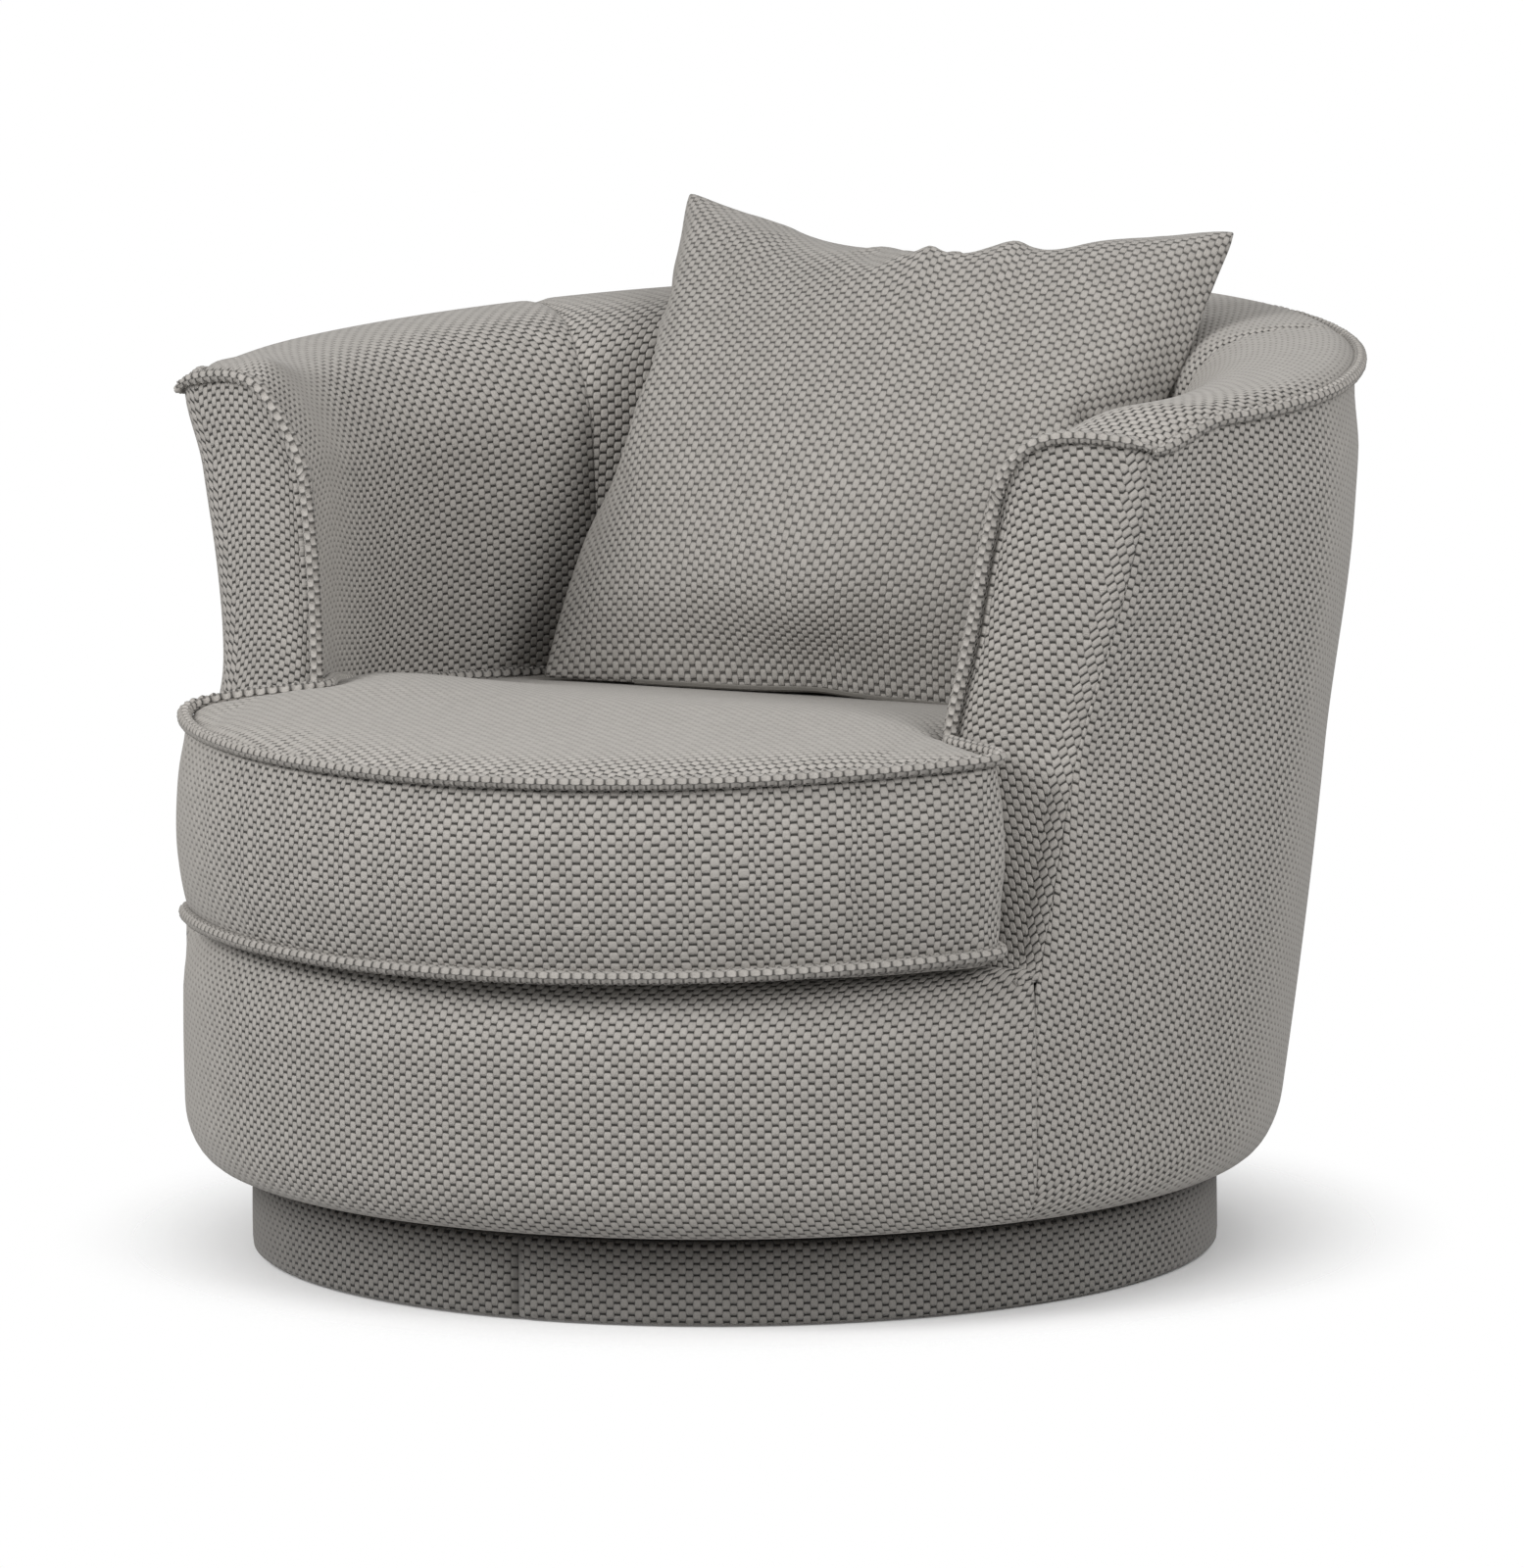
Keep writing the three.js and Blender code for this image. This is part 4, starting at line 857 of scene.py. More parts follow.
def loop_normals(loop):
    tangent = np.roll(loop, -1, 0) - np.roll(loop, 1, 0)
    tangent /= np.linalg.norm(tangent, axis=1, keepdims=True)
    return np.stack([tangent[:, 1], -tangent[:, 0], np.zeros(len(loop))], 1)


def seat_slope(points, height):
    """The top of the seat cushion falls to the back, its foot stays level."""
    back = np.clip((points[..., 1] + CUSHION_LEVEL) / (CUSHION_LEVEL + CUSHION_REAR), 0, 1)
    share = np.clip((height - CUSHION_FOOT - 8) / (CUSHION_HEAD - CUSHION_FOOT - 16), 0, 1)
    return height - CUSHION_DROP * back * share


def crown_share(y):
    """The crown flattens to the back, where the scatter cushion weighs on it."""
    return 1 - 0.75 * ease((y + 150) / 300)


def seat_ring(loop, inset, height):
    ring = loop - loop_normals(loop) * inset
    ring[:, 2] = seat_slope(ring, height)
    return ring


def vertex_places(mesh):
    flat = np.empty(len(mesh.vertices) * 3)
    mesh.vertices.foreach_get("co", flat)
    return flat.reshape(-1, 3) / MM


def remeshed(name, points, faces, size):
    """A closed cover with even, small faces."""
    rough = linked(name, new_mesh(name, points * MM, faces))
    block = rough.modifiers.new("Even mesh", "REMESH")
    block.mode = "VOXEL"
    block.voxel_size = size * MM
    graph = bpy.context.evaluated_depsgraph_get()
    mesh = bpy.data.meshes.new_from_object(rough.evaluated_get(graph))
    old = rough.data
    bpy.data.objects.remove(rough)
    bpy.data.meshes.remove(old)
    return mesh


def inflate(mesh, pinned, pressure, frames, growth, bending):
    """Fills a closed cover with cloth simulation; pinned is 1 where its seams and foot stay put."""
    scene = bpy.context.scene
    bag = linked("Cover being filled", mesh)
    held = bag.vertex_groups.new(name="Held")
    for index in np.nonzero(pinned > 0)[0]:
        held.add([int(index)], float(pinned[index]), "REPLACE")
    cloth = bag.modifiers.new("Cloth", "CLOTH")
    settings = cloth.settings
    settings.quality = 5
    settings.use_pressure = True
    settings.uniform_pressure_force = pressure
    settings.vertex_group_mass = held.name
    settings.shrink_min = -growth
    settings.bending_stiffness = bending
    settings.effector_weights.gravity = 0
    cloth.collision_settings.use_collision = False
    cloth.point_cache.frame_start = 1
    cloth.point_cache.frame_end = frames
    for step in range(1, frames + 1):
        scene.frame_set(step)
    graph = bpy.context.evaluated_depsgraph_get()
    filled = vertex_places(bag.evaluated_get(graph).data)
    bpy.data.objects.remove(bag)
    scene.frame_set(1)
    return filled


def smoothed_field(mesh, field, rounds):
    """A field on the vertices averaged with the neighbours of each vertex."""
    edges = np.empty(len(mesh.edges) * 2, np.int64)
    mesh.edges.foreach_get("vertices", edges)
    edges = edges.reshape(-1, 2)
    count = np.bincount(edges.ravel(), minlength=len(mesh.vertices))[:, None]
    for _ in range(rounds):
        total = np.zeros_like(field)
        np.add.at(total, edges[:, 0], field[edges[:, 1]])
        np.add.at(total, edges[:, 1], field[edges[:, 0]])
        field = 0.5 * field + 0.5 * total / np.maximum(count, 1)
    return field


def place_mesh(mesh, places, uv, material, name):
    """Gives a mesh its final places, its cloth and its cover, as a piece of its own."""
    mesh.vertices.foreach_set("co", in_frame(places).ravel())
    add_cloth_layer(mesh, uv)
    mesh.materials.clear()
    mesh.materials.append(material)
    mesh.shade_smooth()
    mesh.update()
    return linked(name, mesh)


def seat_cover(loop, tuck, settings):
    """The sewn cover of the seat cushion before it's filled: foot, border and a low crown."""
    sections = [(12, 286), (9, CUSHION_FOOT - 2), (SEAM_INSET, CUSHION_FOOT + 4)]
    for share in (0.15, 0.3, 0.5, 0.7, 0.85):
        inset = SEAM_INSET - BORDER_SWELL * math.sin(math.pi * share)
        sections.append((inset, CUSHION_FOOT + 4 + share * BORDER_HEIGHT))
    sections += [(SEAM_INSET, CUSHION_HEAD), (SEAM_INSET + 9, CUSHION_HEAD + 2)]
    rings = []
    for inset, height in sections:
        tucked = inset + tuck * ease((CUSHION_FOOT + TUCK_REACH - height) / TUCK_REACH)
        rings.append(seat_ring(loop, tucked, height))
    last = rings[-1]
    for share, rise in ((0.12, 0.3), (0.3, 0.62), (0.55, 0.88), (0.8, 0.98), (0.97, 1.0)):
        ring = last.copy()
        ring[:, :2] *= 1 - share
        crown = rise * settings.seat_crown * 0.6 / MM * crown_share(ring[:, 1])
        ring[:, 2] = seat_slope(ring, CUSHION_HEAD) + crown
        rings.append(ring)
    count = len(loop)
    faces = [*grid_faces(len(rings), count, closed=True)]
    faces.append(range(count)[::-1])
    faces.append(range((len(rings) - 1) * count, len(rings) * count))
    return remeshed("Seat cover", np.concatenate(rings), faces, COVER_GRAIN)


def seams_held(rest, loop, seams):
    """For each vertex whether a seam or the foot holds it, and the nearest point of the outline."""
    pinned = np.zeros(len(rest))
    nearest = np.zeros(len(rest), np.int64)
    for begin in range(0, len(rest), BATCH):
        batch = slice(begin, begin + BATCH)
        flat = np.linalg.norm(rest[batch, None, :2] - loop[None, :, :2], axis=-1)
        nearest[batch] = flat.argmin(1)
        for seam in seams:
            away = np.linalg.norm(rest[batch, None] - seam[None], axis=-1).min(1)
            pinned[batch][away < SEAM_HOLD] = 1
    pinned[rest[:, 2] < 290] = 1
    return pinned, nearest


def seat_places(mesh, rest, pinned, settings):
    """Where the vertices of the seat cushion lie once it's filled and the other cushion rests on it."""
    filled = rest
    filled = inflate(mesh, pinned, settings.fill_pressure, 20, growth=0.012, bending=0.5)
    shift = filled - rest
    size = np.linalg.norm(shift, axis=1, keepdims=True)
    shift *= np.minimum(1, FILL_LIMIT / np.maximum(size, 1e-6))
    shift = smoothed_field(mesh, shift, 2)
    on_top = ease((rest[:, 2] - 395) / 40)
    shift[:, 2] *= 1 - on_top * (1 - crown_share(rest[:, 1]))
    places = rest + shift
    level = seat_slope(rest, np.full(len(rest), CUSHION_HEAD))
    rise = np.maximum(places[:, 2] - level, 0)
    flat = FLAT_CROWN * crown_share(rest[:, 1]) * (1 - np.exp(-rise / FLAT_CROWN_REACH))
    places[:, 2] += (flat - rise) * (rise > 0)
    places[:, 2] += seat_lean(rest) * ease((rest[:, 2] - 284) / 12)
    places[:, 2] += seat_wing(rest) * ease((rest[:, 2] - 330) / 110)
    places[:, 2] += wobble(rest, 260, 1.6, 11) * ease((rest[:, 2] - 420) / 30)
    return places


def seat_uv(mesh, rest, loop, nearest):
    """The cloth lies flat on top and foot, and runs round the border by the length of the outline."""
    starts, totals, corners = face_corners(mesh)
    owner = np.repeat(np.arange(len(starts)), totals)
    normals = np.empty(len(mesh.polygons) * 3)
    mesh.polygons.foreach_get("normal", normals)
    flat_face = np.abs(normals.reshape(-1, 3)[:, 2]) > 0.6
    middle_z = np.add.reduceat(rest[corners][:, 2], starts) / totals
    flat_face &= (middle_z > 400) | (middle_z < 296)
    length = arc_length(np.vstack([loop, loop[:1]]))
    u = length[nearest][corners]
    highest = np.maximum.reduceat(u, starts)[owner]
    u = np.where(highest - u > length[-1] / 2, u + length[-1], u)
    border = np.stack([u, rest[corners][:, 2]], -1)
    return np.where(flat_face[owner][:, None], rest[corners][:, :2], border)


def build_seat(settings):
    loop = seat_outline()
    between_arms = ease((370 - np.linalg.norm(loop[:, :2], axis=1, keepdims=True)) / 30)
    tuck = FOOT_TUCK * between_arms
    mesh = seat_cover(loop, tuck, settings)
    rest = vertex_places(mesh)
    top_seam = seat_ring(loop, SEAM_INSET, CUSHION_HEAD)
    foot_seam = seat_ring(loop, SEAM_INSET + tuck, CUSHION_FOOT)
    pinned, nearest = seams_held(rest, loop, (top_seam, foot_seam))
    places = seat_places(mesh, rest, pinned, settings)
    piece = place_mesh(mesh, places, seat_uv(mesh, rest, loop, nearest), cover("body"), "SeatCushion")
    for seam in (top_seam, foot_seam):
        seam[:, 2] += seat_lean(seam)
    top_seam[:, 2] += seat_wing(top_seam)
    return piece, top_seam, foot_seam, loop


# Scatter cushion

SCATTER_CORNERS = np.array([
    [(-233, 96, 424), (286, 82, 428)],
    [(-247, 370, 781), (281, 332, 792)],
], float)
SCATTER_WIDTH, SCATTER_TALL, SCATTER_BOW = 550.0, 470.0, 0.03
SCATTER_CELLS_ACROSS, SCATTER_CELLS_UP = 60, 52
SCATTER_DEPTH, SCATTER_START_DEPTH = 150.0, 30.0
FOOT_SAG = [(0, 0), (0.5, -5), (1, 0)]
TOP_SAG = [
    (0, 0), (0.055, 8), (0.128, 17), (0.2, 25), (0.238, 33), (0.3, 40), (0.347, 40), (0.42, 41), (0.5, 47),
    (0.567, 48), (0.64, 45), (0.713, 38), (0.75, 31), (0.786, 20), (0.86, 11), (0.93, 4), (1, 0),
]


def scatter_cover():
    """Two panels that share the points of their edge, and the rows of point numbers of the front one."""
    across, up = SCATTER_CELLS_ACROSS, SCATTER_CELLS_UP
    gu, gv = np.meshgrid(np.linspace(-1, 1, across + 1), np.linspace(-1, 1, up + 1))
    x = gu * SCATTER_WIDTH / 2 * (1 + SCATTER_BOW * (1 - gv ** 2))
    z = gv * SCATTER_TALL / 2 * (1 + SCATTER_BOW * (1 - gu ** 2))
    swell = SCATTER_START_DEPTH * ((1 - gu ** 2) * (1 - gv ** 2)).clip(0) ** 0.6
    front = np.arange(gu.size).reshape(gu.shape)
    inner = np.zeros(gu.shape, bool)
    inner[1:-1, 1:-1] = True
    rear = front.copy()
    rear[inner] = gu.size + np.arange(inner.sum())
    points = np.stack([x, -swell, z], -1).reshape(-1, 3)
    points = np.concatenate([points, np.stack([x, swell, z], -1)[inner]])
    faces = []
    for index, order in ((front, 1), (rear, -1)):
        quads = np.stack([index[:-1, :-1], index[:-1, 1:], index[1:, 1:], index[1:, :-1]], -1)
        faces += [*quads.reshape(-1, 4)[:, ::order]]
    return points, faces, front


def scatter_filled(mesh, rest):
    """The cover filled by cloth simulation, its foot evened out where it stands on the seat."""
    filled = inflate(mesh, np.zeros(len(rest)), 2.0, 24, growth=0.0, bending=1.6)
    shift = filled - rest
    near_foot = ease((-0.1 - rest[:, 2:] / SCATTER_TALL * 2) / 0.4)
    return rest + shift + (smoothed_field(mesh, shift, 40) - shift) * near_foot


def edge_sagged(filled, s, near, edge, half_x, sag):
    """Bends one long edge to the sag of a table, and takes the cushion along, less and less away from it."""
    line = filled[edge]
    at, want = (line[:, 0] / half_x + 1) / 2, np.array(sag, float)
    change = line[0] + (line[-1] - line[0]) * at[:, None] - line
    change[:, 0] = 0
    change[:, 2] -= np.interp(at, want[:, 0], want[:, 1])
    return filled + np.stack([np.interp(s, at, change[:, k]) for k in range(3)], 1) * ease(near)[:, None]


def build_scatter():
    points, faces, front = scatter_cover()
    mesh = new_mesh("Scatter cover", points * MM, faces)
    rest = vertex_places(mesh)
    filled = scatter_filled(mesh, rest)
    corner = [filled[front[j, i]] for j in (0, -1) for i in (0, -1)]
    half_x = (corner[1][0] + corner[3][0] - corner[0][0] - corner[2][0]) / 4
    half_z = (corner[2][2] + corner[3][2] - corner[0][2] - corner[1][2]) / 4
    depth = filled[:, 1].max() - filled[:, 1].min()
    s = (filled[:, 0] / half_x + 1) / 2
    t = (filled[:, 2] / half_z + 1) / 2
    filled = edge_sagged(filled, s, 1 - 2 * t, front[0], half_x, FOOT_SAG)
    filled = edge_sagged(filled, s, 2 * t - 1, front[-1], half_x, TOP_SAG)
    t = (filled[:, 2] / half_z + 1) / 2
    low, high = (left * (1 - s)[:, None] + right * s[:, None] for left, right in SCATTER_CORNERS)
    place = low * (1 - t)[:, None] + high * t[:, None]
    run = SCATTER_CORNERS[0, 1] - SCATTER_CORNERS[0, 0]
    lift = SCATTER_CORNERS[1, 0] - SCATTER_CORNERS[0, 0]
    normal = np.cross(lift, run)
    normal /= np.linalg.norm(normal)
    normal *= -1 if normal[1] > 0 else 1
    place = place - normal * (filled[:, 1] / depth * SCATTER_DEPTH)[:, None]
    uv = rest[face_corners(mesh)[2]][:, [0, 2]]
    return place_mesh(mesh, place, uv, cover("scatter"), "ScatterCushion"), place[front[0]]


ZIP_PROFILE = [
    (-1, 0), (-0.34, 0.1), (-0.3, 0.5), (-0.04, 0.6), (0, 0.15), (0.04, 0.6), (0.3, 0.5), (0.34, 0.1), (1, 0),
]
ZIP_HEIGHT = 2.2


def zip_strip(name, line, out, width, material):
    """A zip's tape along a line, with its two rows of teeth down the middle."""
    upward = np.cross(np.gradient(line, axis=0), out)
    upward /= np.linalg.norm(upward, axis=1, keepdims=True)
    upward *= np.where(upward[:, 2:] < 0, -1, 1)
    rows = [line + upward * across * width / 2 + out * rise * ZIP_HEIGHT for across, rise in ZIP_PROFILE]
    grid = np.stack(rows)
    piece = mesh_object(name, grid, grid_faces(*grid.shape[:2]), None, material)
    thicken(piece, 1.0, 0)
    return piece


# Finishes


def wood_group(name):
    group, given, result = new_group(name, {"Vector": None, "Scale": 1.0}, ("Grain", "Height"))
    inputs = {"Vector": given.outputs["Vector"], "Scale": (60, 60, 6)}
    place = add_node(group, "ShaderNodeMapping", inputs).outputs[0]
    inputs = {"Vector": place, "Scale": given.outputs["Scale"], "Detail": 5, "Distortion": 0.8}
    rings = add_node(group, "ShaderNodeTexNoise", inputs).outputs["Fac"]
    fine = add_node(group, "ShaderNodeTexNoise", {"Vector": place, "Scale": 9, "Detail": 3}).outputs["Fac"]
    grain = math_node(group, "MULTIPLY_ADD", fine, 0.35, math_node(group, "MULTIPLY", rings, 0.65))
    feed(group, result, {"Grain": grain, "Height": fine})
    return group


def metal_group(name):
    group, given, result = new_group(name, {"Vector": None}, ("Roughness", "Height"))
    inputs = {"Vector": given.outputs["Vector"], "Scale": 160, "Detail": 4}
    marks = add_node(group, "ShaderNodeTexNoise", inputs).outputs["Fac"]
    inputs = {"Value": marks, "To Min": 0.28, "To Max": 0.5}
    worn = add_node(group, "ShaderNodeMapRange", inputs).outputs[0]
    feed(group, result, {"Roughness": worn, "Height": marks})
    return group


def wood_material(name, light, dark):
    material, tree, shader = new_material(name)
    grain = group_node(tree, "Sawn wood", wood_group, {"Vector": object_place(tree), "Scale": 1.4})
    feed(tree, shader, {"Base Color": mix_color(tree, grain["Grain"], dark, light), "Roughness": 0.7})
    add_bump(tree, shader, grain["Height"], 0.25, 0.0006)
    return material


def metal_material(name, color, metal=1.0):
    material, tree, shader = new_material(name)
    marks = group_node(tree, "Worn metal", metal_group, {"Vector": object_place(tree)})
    feed(tree, shader, {"Base Color": color, "Metallic": metal, "Roughness": marks["Roughness"]})
    add_bump(tree, shader, marks["Height"], 0.15, 0.0003)
    return material


def felt_material(name, light, dark, pores=700):
    material, tree, shader = new_material(name)
    speck = noise_node(tree, pores, 3)
    feed(tree, shader, {"Base Color": mix_color(tree, speck, dark, light), "Roughness": 0.9})
    add_bump(tree, shader, speck, 0.3, 0.0006)
    return material


def dress(node, material):
    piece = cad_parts[node]
    piece.data.materials.clear()
    piece.data.materials.append(material)


LEANING_HEIGHT = 560.0


def leaned(name, node):
    """A copy of a tall frame piece that leans with the upholstery, in place of the upright one."""
    mesh = node.data.copy()
    mesh.transform(node.matrix_world)
    places = in_frame(settled(vertex_places(mesh) - AXIS / MM))
    mesh.vertices.foreach_set("co", places.ravel())
    mesh.update()
    piece = linked("Leaning_" + name, mesh)
    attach(piece, TUB)
    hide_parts(name)


# Settings, and one operator for each step of the panel


class ChairSettings(bpy.types.PropertyGroup):
    """Sizes and colours of the covers."""

    column_width: FloatProperty(
        name="Column width",
        description="Width of a column of the weave",
        default=0.0058,
        unit="LENGTH",
    )
    bobble_length: FloatProperty(
        name="Bobble length",
        description="Length of a bobble along its column",
        default=0.0094,
        unit="LENGTH",
    )
    unevenness: FloatProperty(
        name="Unevenness",
        description="How far the yarn wanders",
        default=0.0004,
        unit="LENGTH",
    )
    seat_crown: FloatProperty(
        name="Seat crown",
        description="Rise of the seat cushion's cover at its middle before it's filled",
        default=0.02,
        unit="LENGTH",
    )
    fill_pressure: FloatProperty(
        name="Fill pressure",
        description="Pressure of the filling in the seat cushion",
        default=4.0,
    )
    pad_crown: FloatProperty(
        name="Pad crown",
        description="How far the padding stands out between its seams",
        default=0.006,
        unit="LENGTH",
    )
    yarn_light: FloatVectorProperty(
        name="Light yarn",
        description="Colour of the raised yarn",
        default=(0.46, 0.435, 0.405),
        subtype="COLOR",
    )
    # The dark end of the yarn's tone; it is also the painted shade down the bobbles' sides and at a glancing
    # angle
    yarn_dark_and_shade: FloatVectorProperty(
        name="Dark yarn and shade",
        description="Colour between the fibres",
        default=(0.26, 0.245, 0.225),
        subtype="COLOR",
    )
    # Painted shade deep in the pits between bobbles
    pit_shade_color: FloatVectorProperty(
        name="Pit shade colour",
        description="Colour deep between two bobbles",
        default=(0.022, 0.02, 0.017),
        subtype="COLOR",
    )


def chair_settings():
    return bpy.context.scene.chair_settings


COVERS = {}


def cover(kind):
    """The weave for one kind of piece, made once; the plinth and scatter cushion get darker copies, painted
    shade, and each kind its own strength of painted shade in the pits.
    """
    if kind in COVERS:
        return COVERS[kind]
    settings = chair_settings()
    choices = {
        # depth sets the strength of the painted shade in the pits; shade darkens the whole weave as painted
        # shade
        "body": dict(depth=0.92),
        # The plinth's weave is darkened as painted shade under the overhang of the tub
        "plinth": dict(shade=0.46),
        "cord": dict(column=2 * math.pi * PIPE * MM / CORD_COLUMNS, depth=0.75),
        # The scatter cushion's weave is darkened a little as painted shade
        "scatter": dict(shade=0.9, depth=0.72),
    }
    COVERS[kind] = weave_material("Woven " + kind, settings, **choices[kind])
    return COVERS[kind]


def both_sides(build):
    """Builds a piece for the right arm, and its mirror image for the left arm."""
    build("Right", np.array)
    build("Left", mirrored)


PLINTH_RADIUS, PLINTH_TALL = 384.0, 68.0
PLINTH_SEAM_ANGLE, PLINTH_SEAM_DEPTH, PLINTH_SEAM_WIDTH = 3.4, 2.2, 4.0
FACING_TURN_RIGHT, FACING_TURN_LEFT = 20, 10
PAD_SIDE_ROWS = 60


class CHAIR_OT_plinth(bpy.types.Operator):
    """Cover the plinth with its strip of cloth"""

    bl_idname = "chair.plinth"
    bl_label = "Plinth cover"

    def execute(self, context):
        angles = np.linspace(0, TURN, 241) + PLINTH_SEAM_ANGLE
        profile = [(378, 2.5), (382, 2.1), (384.4, 4), (385, 10)]
        profile += [(385, z) for z in np.linspace(14, 58, 10)]
        profile += [(384.4, 63), (382.4, 66.4), (378, PLINTH_TALL), (366, PLINTH_TALL + 0.3)]
        profile = np.array(profile)
        around = (angles - angles[0]) / HALF * math.pi * PLINTH_RADIUS
        from_seam = np.minimum(around, around[-1] - around)
        middle = np.sin(np.pi * np.clip(profile[:, 1] / PLINTH_TALL, 0, 1))
        radius = profile[:, :1] - PLINTH_SEAM_DEPTH * np.exp(-(from_seam / PLINTH_SEAM_WIDTH) ** 2)[None]
        place = polar(radius, angles[None], profile[:, 1:])
        pucker = wobble(place, 46, 0.9, 21) * middle[:, None] * np.exp(-from_seam / 160)[None]
        pucker += wobble(place, 210, 0.8, 22) * middle[:, None]
        pucker *= ease(from_seam / 12)[None]
        place[..., :2] *= ((radius + pucker) / radius)[..., None]
        uv = np.stack(np.broadcast_arrays(around[None], profile[:, 1:]), -1)
        solid_sheet("PlinthCover", place, uv, cover("plinth"), PLINTH, ["plinth_cover"], 3.0,
                    flip=not outward(place, place[8, 120] * 2))
        return {"FINISHED"}


class CHAIR_OT_shell(bpy.types.Operator):
    """Stretch the cover round the outside of the tub and over the front"""

    bl_idname = "chair.shell"
    bl_label = "Outer cover and front"

    def execute(self, context):
        grid = shell_surface()
        grid[1:] += wobble(grid[1:], 330, 0.8, 31)[..., None] * np.array([0, 1.0, 0])
        uv = shell_uv(grid)
        target = grid[grid.shape[0] // 2, grid.shape[1] // 2] * 2
        solid_sheet("OuterCover", grid, uv, cover("body"), TUB, ["outer_cover"], 3.0,
                    flip=not outward(grid, target))
        front = front_surface()
        target = front[20, front.shape[1] // 2] * 2
        solid_sheet("FrontCover", front, unrolled_uv(front), cover("body"), TUB, ["front_cover"], 3.0,
                    flip=not outward(front, target))
        return {"FINISHED"}


class CHAIR_OT_facings(bpy.types.Operator):
    """Pad and cover the fronts of the arms"""

    bl_idname = "chair.facings"
    bl_label = "Arm fronts"

    def execute(self, context):
        grid = facing_surface()

        def build(side, turned):
            place = turned(grid)
            uv = facing_uv(grid, FACING_TURN_RIGHT)
            if side == "Left":
                uv = facing_uv(grid, FACING_TURN_LEFT) * np.array([-1, 1])
            target = place[40, 16] + np.array([0, -500, 0])
            solid_sheet("ArmFront" + side, place, uv, cover("body"), TUB, ["arm_facing_" + side.lower()], 6.0,
                        flip=not outward(place, target))

        both_sides(build)
        return {"FINISHED"}


class CHAIR_OT_inside(bpy.types.Operator):
    """Pad the inside of the arms and the back"""

    bl_idname = "chair.inside"
    bl_label = "Inside padding"

    def execute(self, context):
        crown = chair_settings().pad_crown / MM
        seam = PAD_SEAM_ANGLE
        arm = pad_surface(FACE_ANGLE + 0.9, seam, 90, 41, crown, 3.5, 2.6)

        def build(side, turned):
            place = turned(arm)
            uv = unrolled_uv(place)
            solid_sheet("ArmPad" + side, place, uv, cover("body"), TUB, ["arm_pad_" + side.lower()], 5.0,
                        flip=not outward(place[:PAD_SIDE_ROWS], INSIDE_MIDDLE))

        both_sides(build)
        back = pad_surface(seam, TURN - seam, 84, 43, crown, 2.6, 2.6)
        solid_sheet("BackPad", back, unrolled_uv(back), cover("body"), TUB, ["back_pad"], 5.0,
                    flip=not outward(back[:PAD_SIDE_ROWS], INSIDE_MIDDLE))
        return {"FINISHED"}


class CHAIR_OT_cords(bpy.types.Operator):
    """Sew the piping round the arm fronts and along the rim"""

    bl_idname = "chair.cords"
    bl_label = "Piping"

    def execute(self, context):
        path = facing_cord_path()

        def build(side, turned):
            piece = cord_object("ArmPiping" + side, settled(turned(path)), cover("cord"), 51)
            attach(piece, TUB)
            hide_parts("facing_piping_" + side.lower())

        both_sides(build)
        piece = cord_object("RimPiping", settled(rim_cord_path()), cover("cord"), 52)
        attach(piece, TUB)
        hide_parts("rim_piping")
        return {"FINISHED"}


class CHAIR_OT_seat(bpy.types.Operator):
    """Fill and pipe the seat cushion"""

    bl_idname = "chair.seat"
    bl_label = "Seat cushion"

    def execute(self, context):
        piece, top_seam, foot_seam, loop = build_seat(chair_settings())
        refine(piece)
        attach(piece, SEAT)
        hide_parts("seat_cushion")
        normal = loop_normals(loop)
        for name, seam, node, rise, seed in (
            ("SeatPipingTop", top_seam, "cushion_piping_top", 1.5, 61),
            ("SeatPipingFoot", foot_seam, "cushion_piping_bottom", 0, 62),
        ):
            path = even_spaced(softened(seam, 5, 16) + normal * 2.6, CORD_SPACING, closed=True)
            path[:, 2] += rise
            cord = cord_object(name, path, cover("cord"), seed, closed=True)
            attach(cord, SEAT)
            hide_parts(node)
        return {"FINISHED"}


class CHAIR_OT_scatter(bpy.types.Operator):
    """Fill the scatter cushion and lean it on the back"""

    bl_idname = "chair.scatter"
    bl_label = "Scatter cushion"

    def execute(self, context):
        piece, edge = build_scatter()
        refine(piece)
        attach(piece, SCATTER)
        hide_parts("scatter_cushion")
        line = even_spaced(edge[10:-10], 5.0)
        out = np.array([0, -0.6, -0.8])
        material = felt_material("Zip tape", (0.2, 0.19, 0.17), (0.11, 0.1, 0.09))
        tape = zip_strip("ScatterZip", line - out * 3.6, out, 9.0, material)
        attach(tape, SCATTER)
        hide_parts("scatter_zip")
        return {"FINISHED"}


class CHAIR_OT_deck(bpy.types.Operator):
    """Lay the cloth deck over the springs"""

    bl_idname = "chair.deck"
    bl_label = "Seat deck"

    def execute(self, context):
        low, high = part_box("seat_deck")
        top = high.z / MM
        radius = (high.x - low.x) / 2 / MM
        rings = np.linspace(0.02, 1, 40)
        angles = np.linspace(0, TURN, 121)
        place = polar(rings[:, None] * radius, angles[None], top)
        sag = -7 * (1 - rings ** 2) + 2.2 * np.cos(rings * 21) * (1 - rings)
        place[..., 2] += sag[:, None] * 0.8 - 1
        place[-1, :, 2] -= 2
        uv = place[..., :2]
        material = felt_material("Deck cloth", (0.07, 0.066, 0.06), (0.035, 0.033, 0.03), 500)
        piece = solid_sheet("SeatDeck", place, uv, material, TUB, ["seat_deck"], 8.0,
                            flip=not outward(place, np.array([0, 0, 2000.0])))
        return {"FINISHED"}


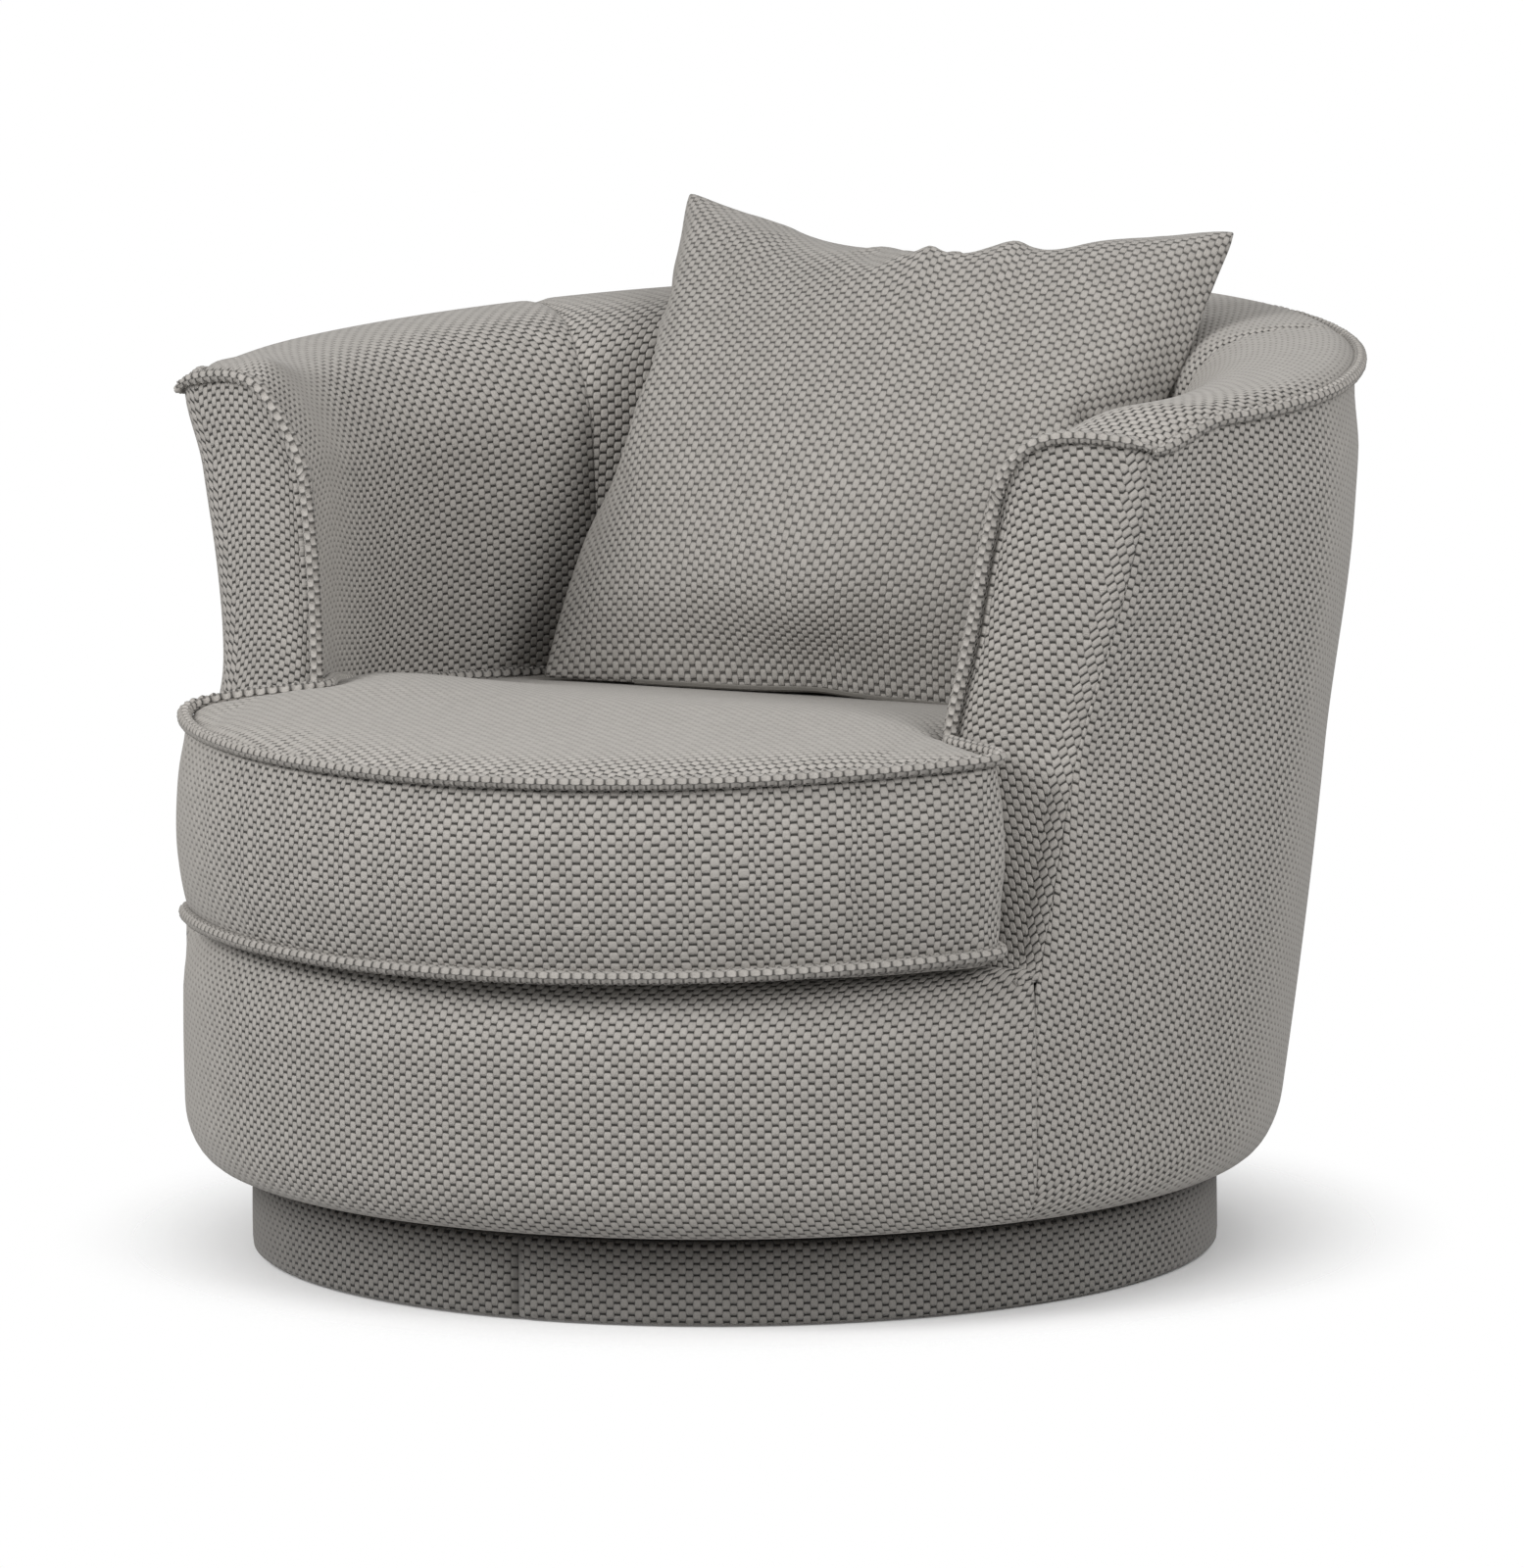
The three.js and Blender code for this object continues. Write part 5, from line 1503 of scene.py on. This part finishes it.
class CHAIR_OT_frame(bpy.types.Operator):
    """Give the frame, bearing and fittings their finishes"""

    bl_idname = "chair.frame"
    bl_label = "Frame finishes"

    def execute(self, context):
        ply = wood_material("Birch ply", (0.5, 0.36, 0.22), (0.34, 0.22, 0.12))
        pine = wood_material("Sawn pine", (0.55, 0.39, 0.21), (0.38, 0.24, 0.11))
        zinc = metal_material("Zinc plate", (0.55, 0.55, 0.56))
        spring = metal_material("Spring steel", (0.2, 0.2, 0.21))
        nylon = metal_material("Black nylon", (0.03, 0.03, 0.03), 0.0)
        dust = felt_material("Dust cloth", (0.035, 0.035, 0.037), (0.015, 0.015, 0.016), 900)
        # The first row with a word that is in the name of a piece gives its finish
        finishes = (
            (("spring_",), spring, "steel"),
            (("ring", "cage", "screw"), zinc, "steel"),
            (("glide", "zip"), nylon, "nylon"),
            (("dust_cloth",), dust, "dust_cloth"),
            (("post", "rail"), pine, "frame_wood"),
            (("",), ply, "frame_wood"),
        )
        for name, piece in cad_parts.items():
            if piece.hide_render:
                continue
            for words, material, slot in finishes:
                if any(word in name for word in words):
                    dress(name, material)
                    break
        for name, node in [*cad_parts.items()]:
            if not node.hide_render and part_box(name)[1].z / MM > LEANING_HEIGHT:
                leaned(name, node)
        return {"FINISHED"}


class CHAIR_OT_stage(bpy.types.Operator):
    """Set the floor, the light and the camera of the photograph"""

    bl_idname = "chair.stage"
    bl_label = "Stage and camera"

    def execute(self, context):
        scene = context.scene
        add_floor()
        add_lights(scene)
        add_camera(scene)
        return {"FINISHED"}


FLOOR_FADE_START, FLOOR_FADE_END = 0.36, 0.57
LIGHT_TARGET = Vector((0, 0, 0.4))


def add_floor():
    """A pale disk that catches the shadow and fades out round the chair."""
    material, tree, shader = new_material("Pale floor")
    away = add_node(tree, "ShaderNodeVectorMath", {0: object_place(tree)}, operation="LENGTH")
    fade = smooth_range(tree, away.outputs["Value"], FLOOR_FADE_START, FLOOR_FADE_END, 1, 0)
    feed(tree, shader, {"Base Color": (0.86, 0.86, 0.86), "Roughness": 0.8, "Alpha": fade})
    bpy.ops.mesh.primitive_circle_add(vertices=96, radius=1.4, fill_type="NGON", location=(0, 0, 0))
    floor = bpy.context.object
    floor.name = "Floor"
    floor.data.materials.append(material)


def add_area(name, place, size, power):
    light = bpy.data.lights.new(name, "AREA")
    light.shape = "DISK"
    light.size = size
    light.energy = power
    lamp = linked(name, light)
    lamp.location = place
    lamp.rotation_euler = (LIGHT_TARGET - Vector(place)).to_track_quat("-Z", "Y").to_euler()


def add_lights(scene):
    """The world is white where the camera sees it, straight or mirrored, and dimmer as a light."""
    world = bpy.data.worlds.new("White room")
    scene.world = world
    world.use_nodes = True
    tree = world.node_tree
    tree.nodes.clear()
    seen = add_node(tree, "ShaderNodeLightPath", {}).outputs
    soft, shown = (
        add_node(tree, "ShaderNodeBackground", {"Color": (1, 1, 1), "Strength": strength}).outputs[0]
        for strength in (0.45, 1.0)
    )
    either = math_node(tree, "MAXIMUM", seen["Is Camera Ray"], seen["Is Glossy Ray"])
    either = math_node(tree, "MAXIMUM", either, seen["Is Transmission Ray"])
    mixed = add_node(tree, "ShaderNodeMixShader", {0: either, 1: soft, 2: shown})
    add_node(tree, "ShaderNodeOutputWorld", {0: mixed.outputs[0]})
    add_area("Key light", (-2.1, -3.4, 2.8), 2.4, 162)
    add_area("Top light", (0.6, 0.4, 3.6), 2.6, 17)
    add_area("Right light", (3.4, -1.3, 2.3), 2.2, 90)


CAMERA_TURN, CAMERA_RISE, CAMERA_ROLL = 30.0, 9.83, -0.48
CAMERA_DISTANCE = 40.0
PICTURE_SCALE, PICTURE_HEIGHT = 1279.5, 1600
SENSOR_HEIGHT = 36
LOOK_RIGHT, LOOK_HEIGHT = 0.0245, 0.370


def add_camera(scene):
    scene.view_settings.view_transform = "Standard"
    camera = bpy.data.cameras.new("Camera")
    camera.sensor_fit = "VERTICAL"
    camera.sensor_height = SENSOR_HEIGHT
    camera.lens = PICTURE_SCALE * CAMERA_DISTANCE / PICTURE_HEIGHT * SENSOR_HEIGHT
    camera.clip_end = 100
    holder = linked("Camera", camera)
    turn, rise = math.radians(CAMERA_TURN), math.radians(CAMERA_RISE)
    target = Vector((LOOK_RIGHT * math.cos(turn), AXIS[1] + LOOK_RIGHT * math.sin(turn), LOOK_HEIGHT))
    toward = Vector((math.sin(turn) * math.cos(rise), -math.cos(turn) * math.cos(rise), math.sin(rise)))
    holder.location = target + toward * CAMERA_DISTANCE
    holder.rotation_euler = (-toward).to_track_quat("-Z", "Y").to_euler()
    holder.rotation_euler.rotate_axis("Z", math.radians(CAMERA_ROLL))
    scene.camera = holder


STEPS = (
    CHAIR_OT_plinth,
    CHAIR_OT_shell,
    CHAIR_OT_facings,
    CHAIR_OT_inside,
    CHAIR_OT_cords,
    CHAIR_OT_deck,
    CHAIR_OT_seat,
    CHAIR_OT_scatter,
    CHAIR_OT_frame,
    CHAIR_OT_stage,
)


class CHAIR_PT_panel(bpy.types.Panel):
    """Builds the chair's covers one step at a time"""

    bl_label = "Cuddle chair"
    bl_idname = "CHAIR_PT_panel"
    bl_space_type = "VIEW_3D"
    bl_region_type = "UI"
    bl_category = "Chair"

    def draw(self, context):
        layout = self.layout
        settings = context.scene.chair_settings
        for name in settings.bl_rna.properties.keys():
            if name not in ("rna_type", "name"):
                layout.prop(settings, name)
        for step in STEPS:
            layout.operator(step.bl_idname)


def register():
    for kind in (ChairSettings, *STEPS, CHAIR_PT_panel):
        bpy.utils.register_class(kind)
    bpy.types.Scene.chair_settings = PointerProperty(type=ChairSettings)


def unregister():
    del bpy.types.Scene.chair_settings
    for kind in (CHAIR_PT_panel, *reversed(STEPS), ChairSettings):
        bpy.utils.unregister_class(kind)


def main():
    register()
    for step in STEPS:
        family, name = step.bl_idname.split(".")
        getattr(getattr(bpy.ops, family), name)()


if __name__ == "__main__":
    main()
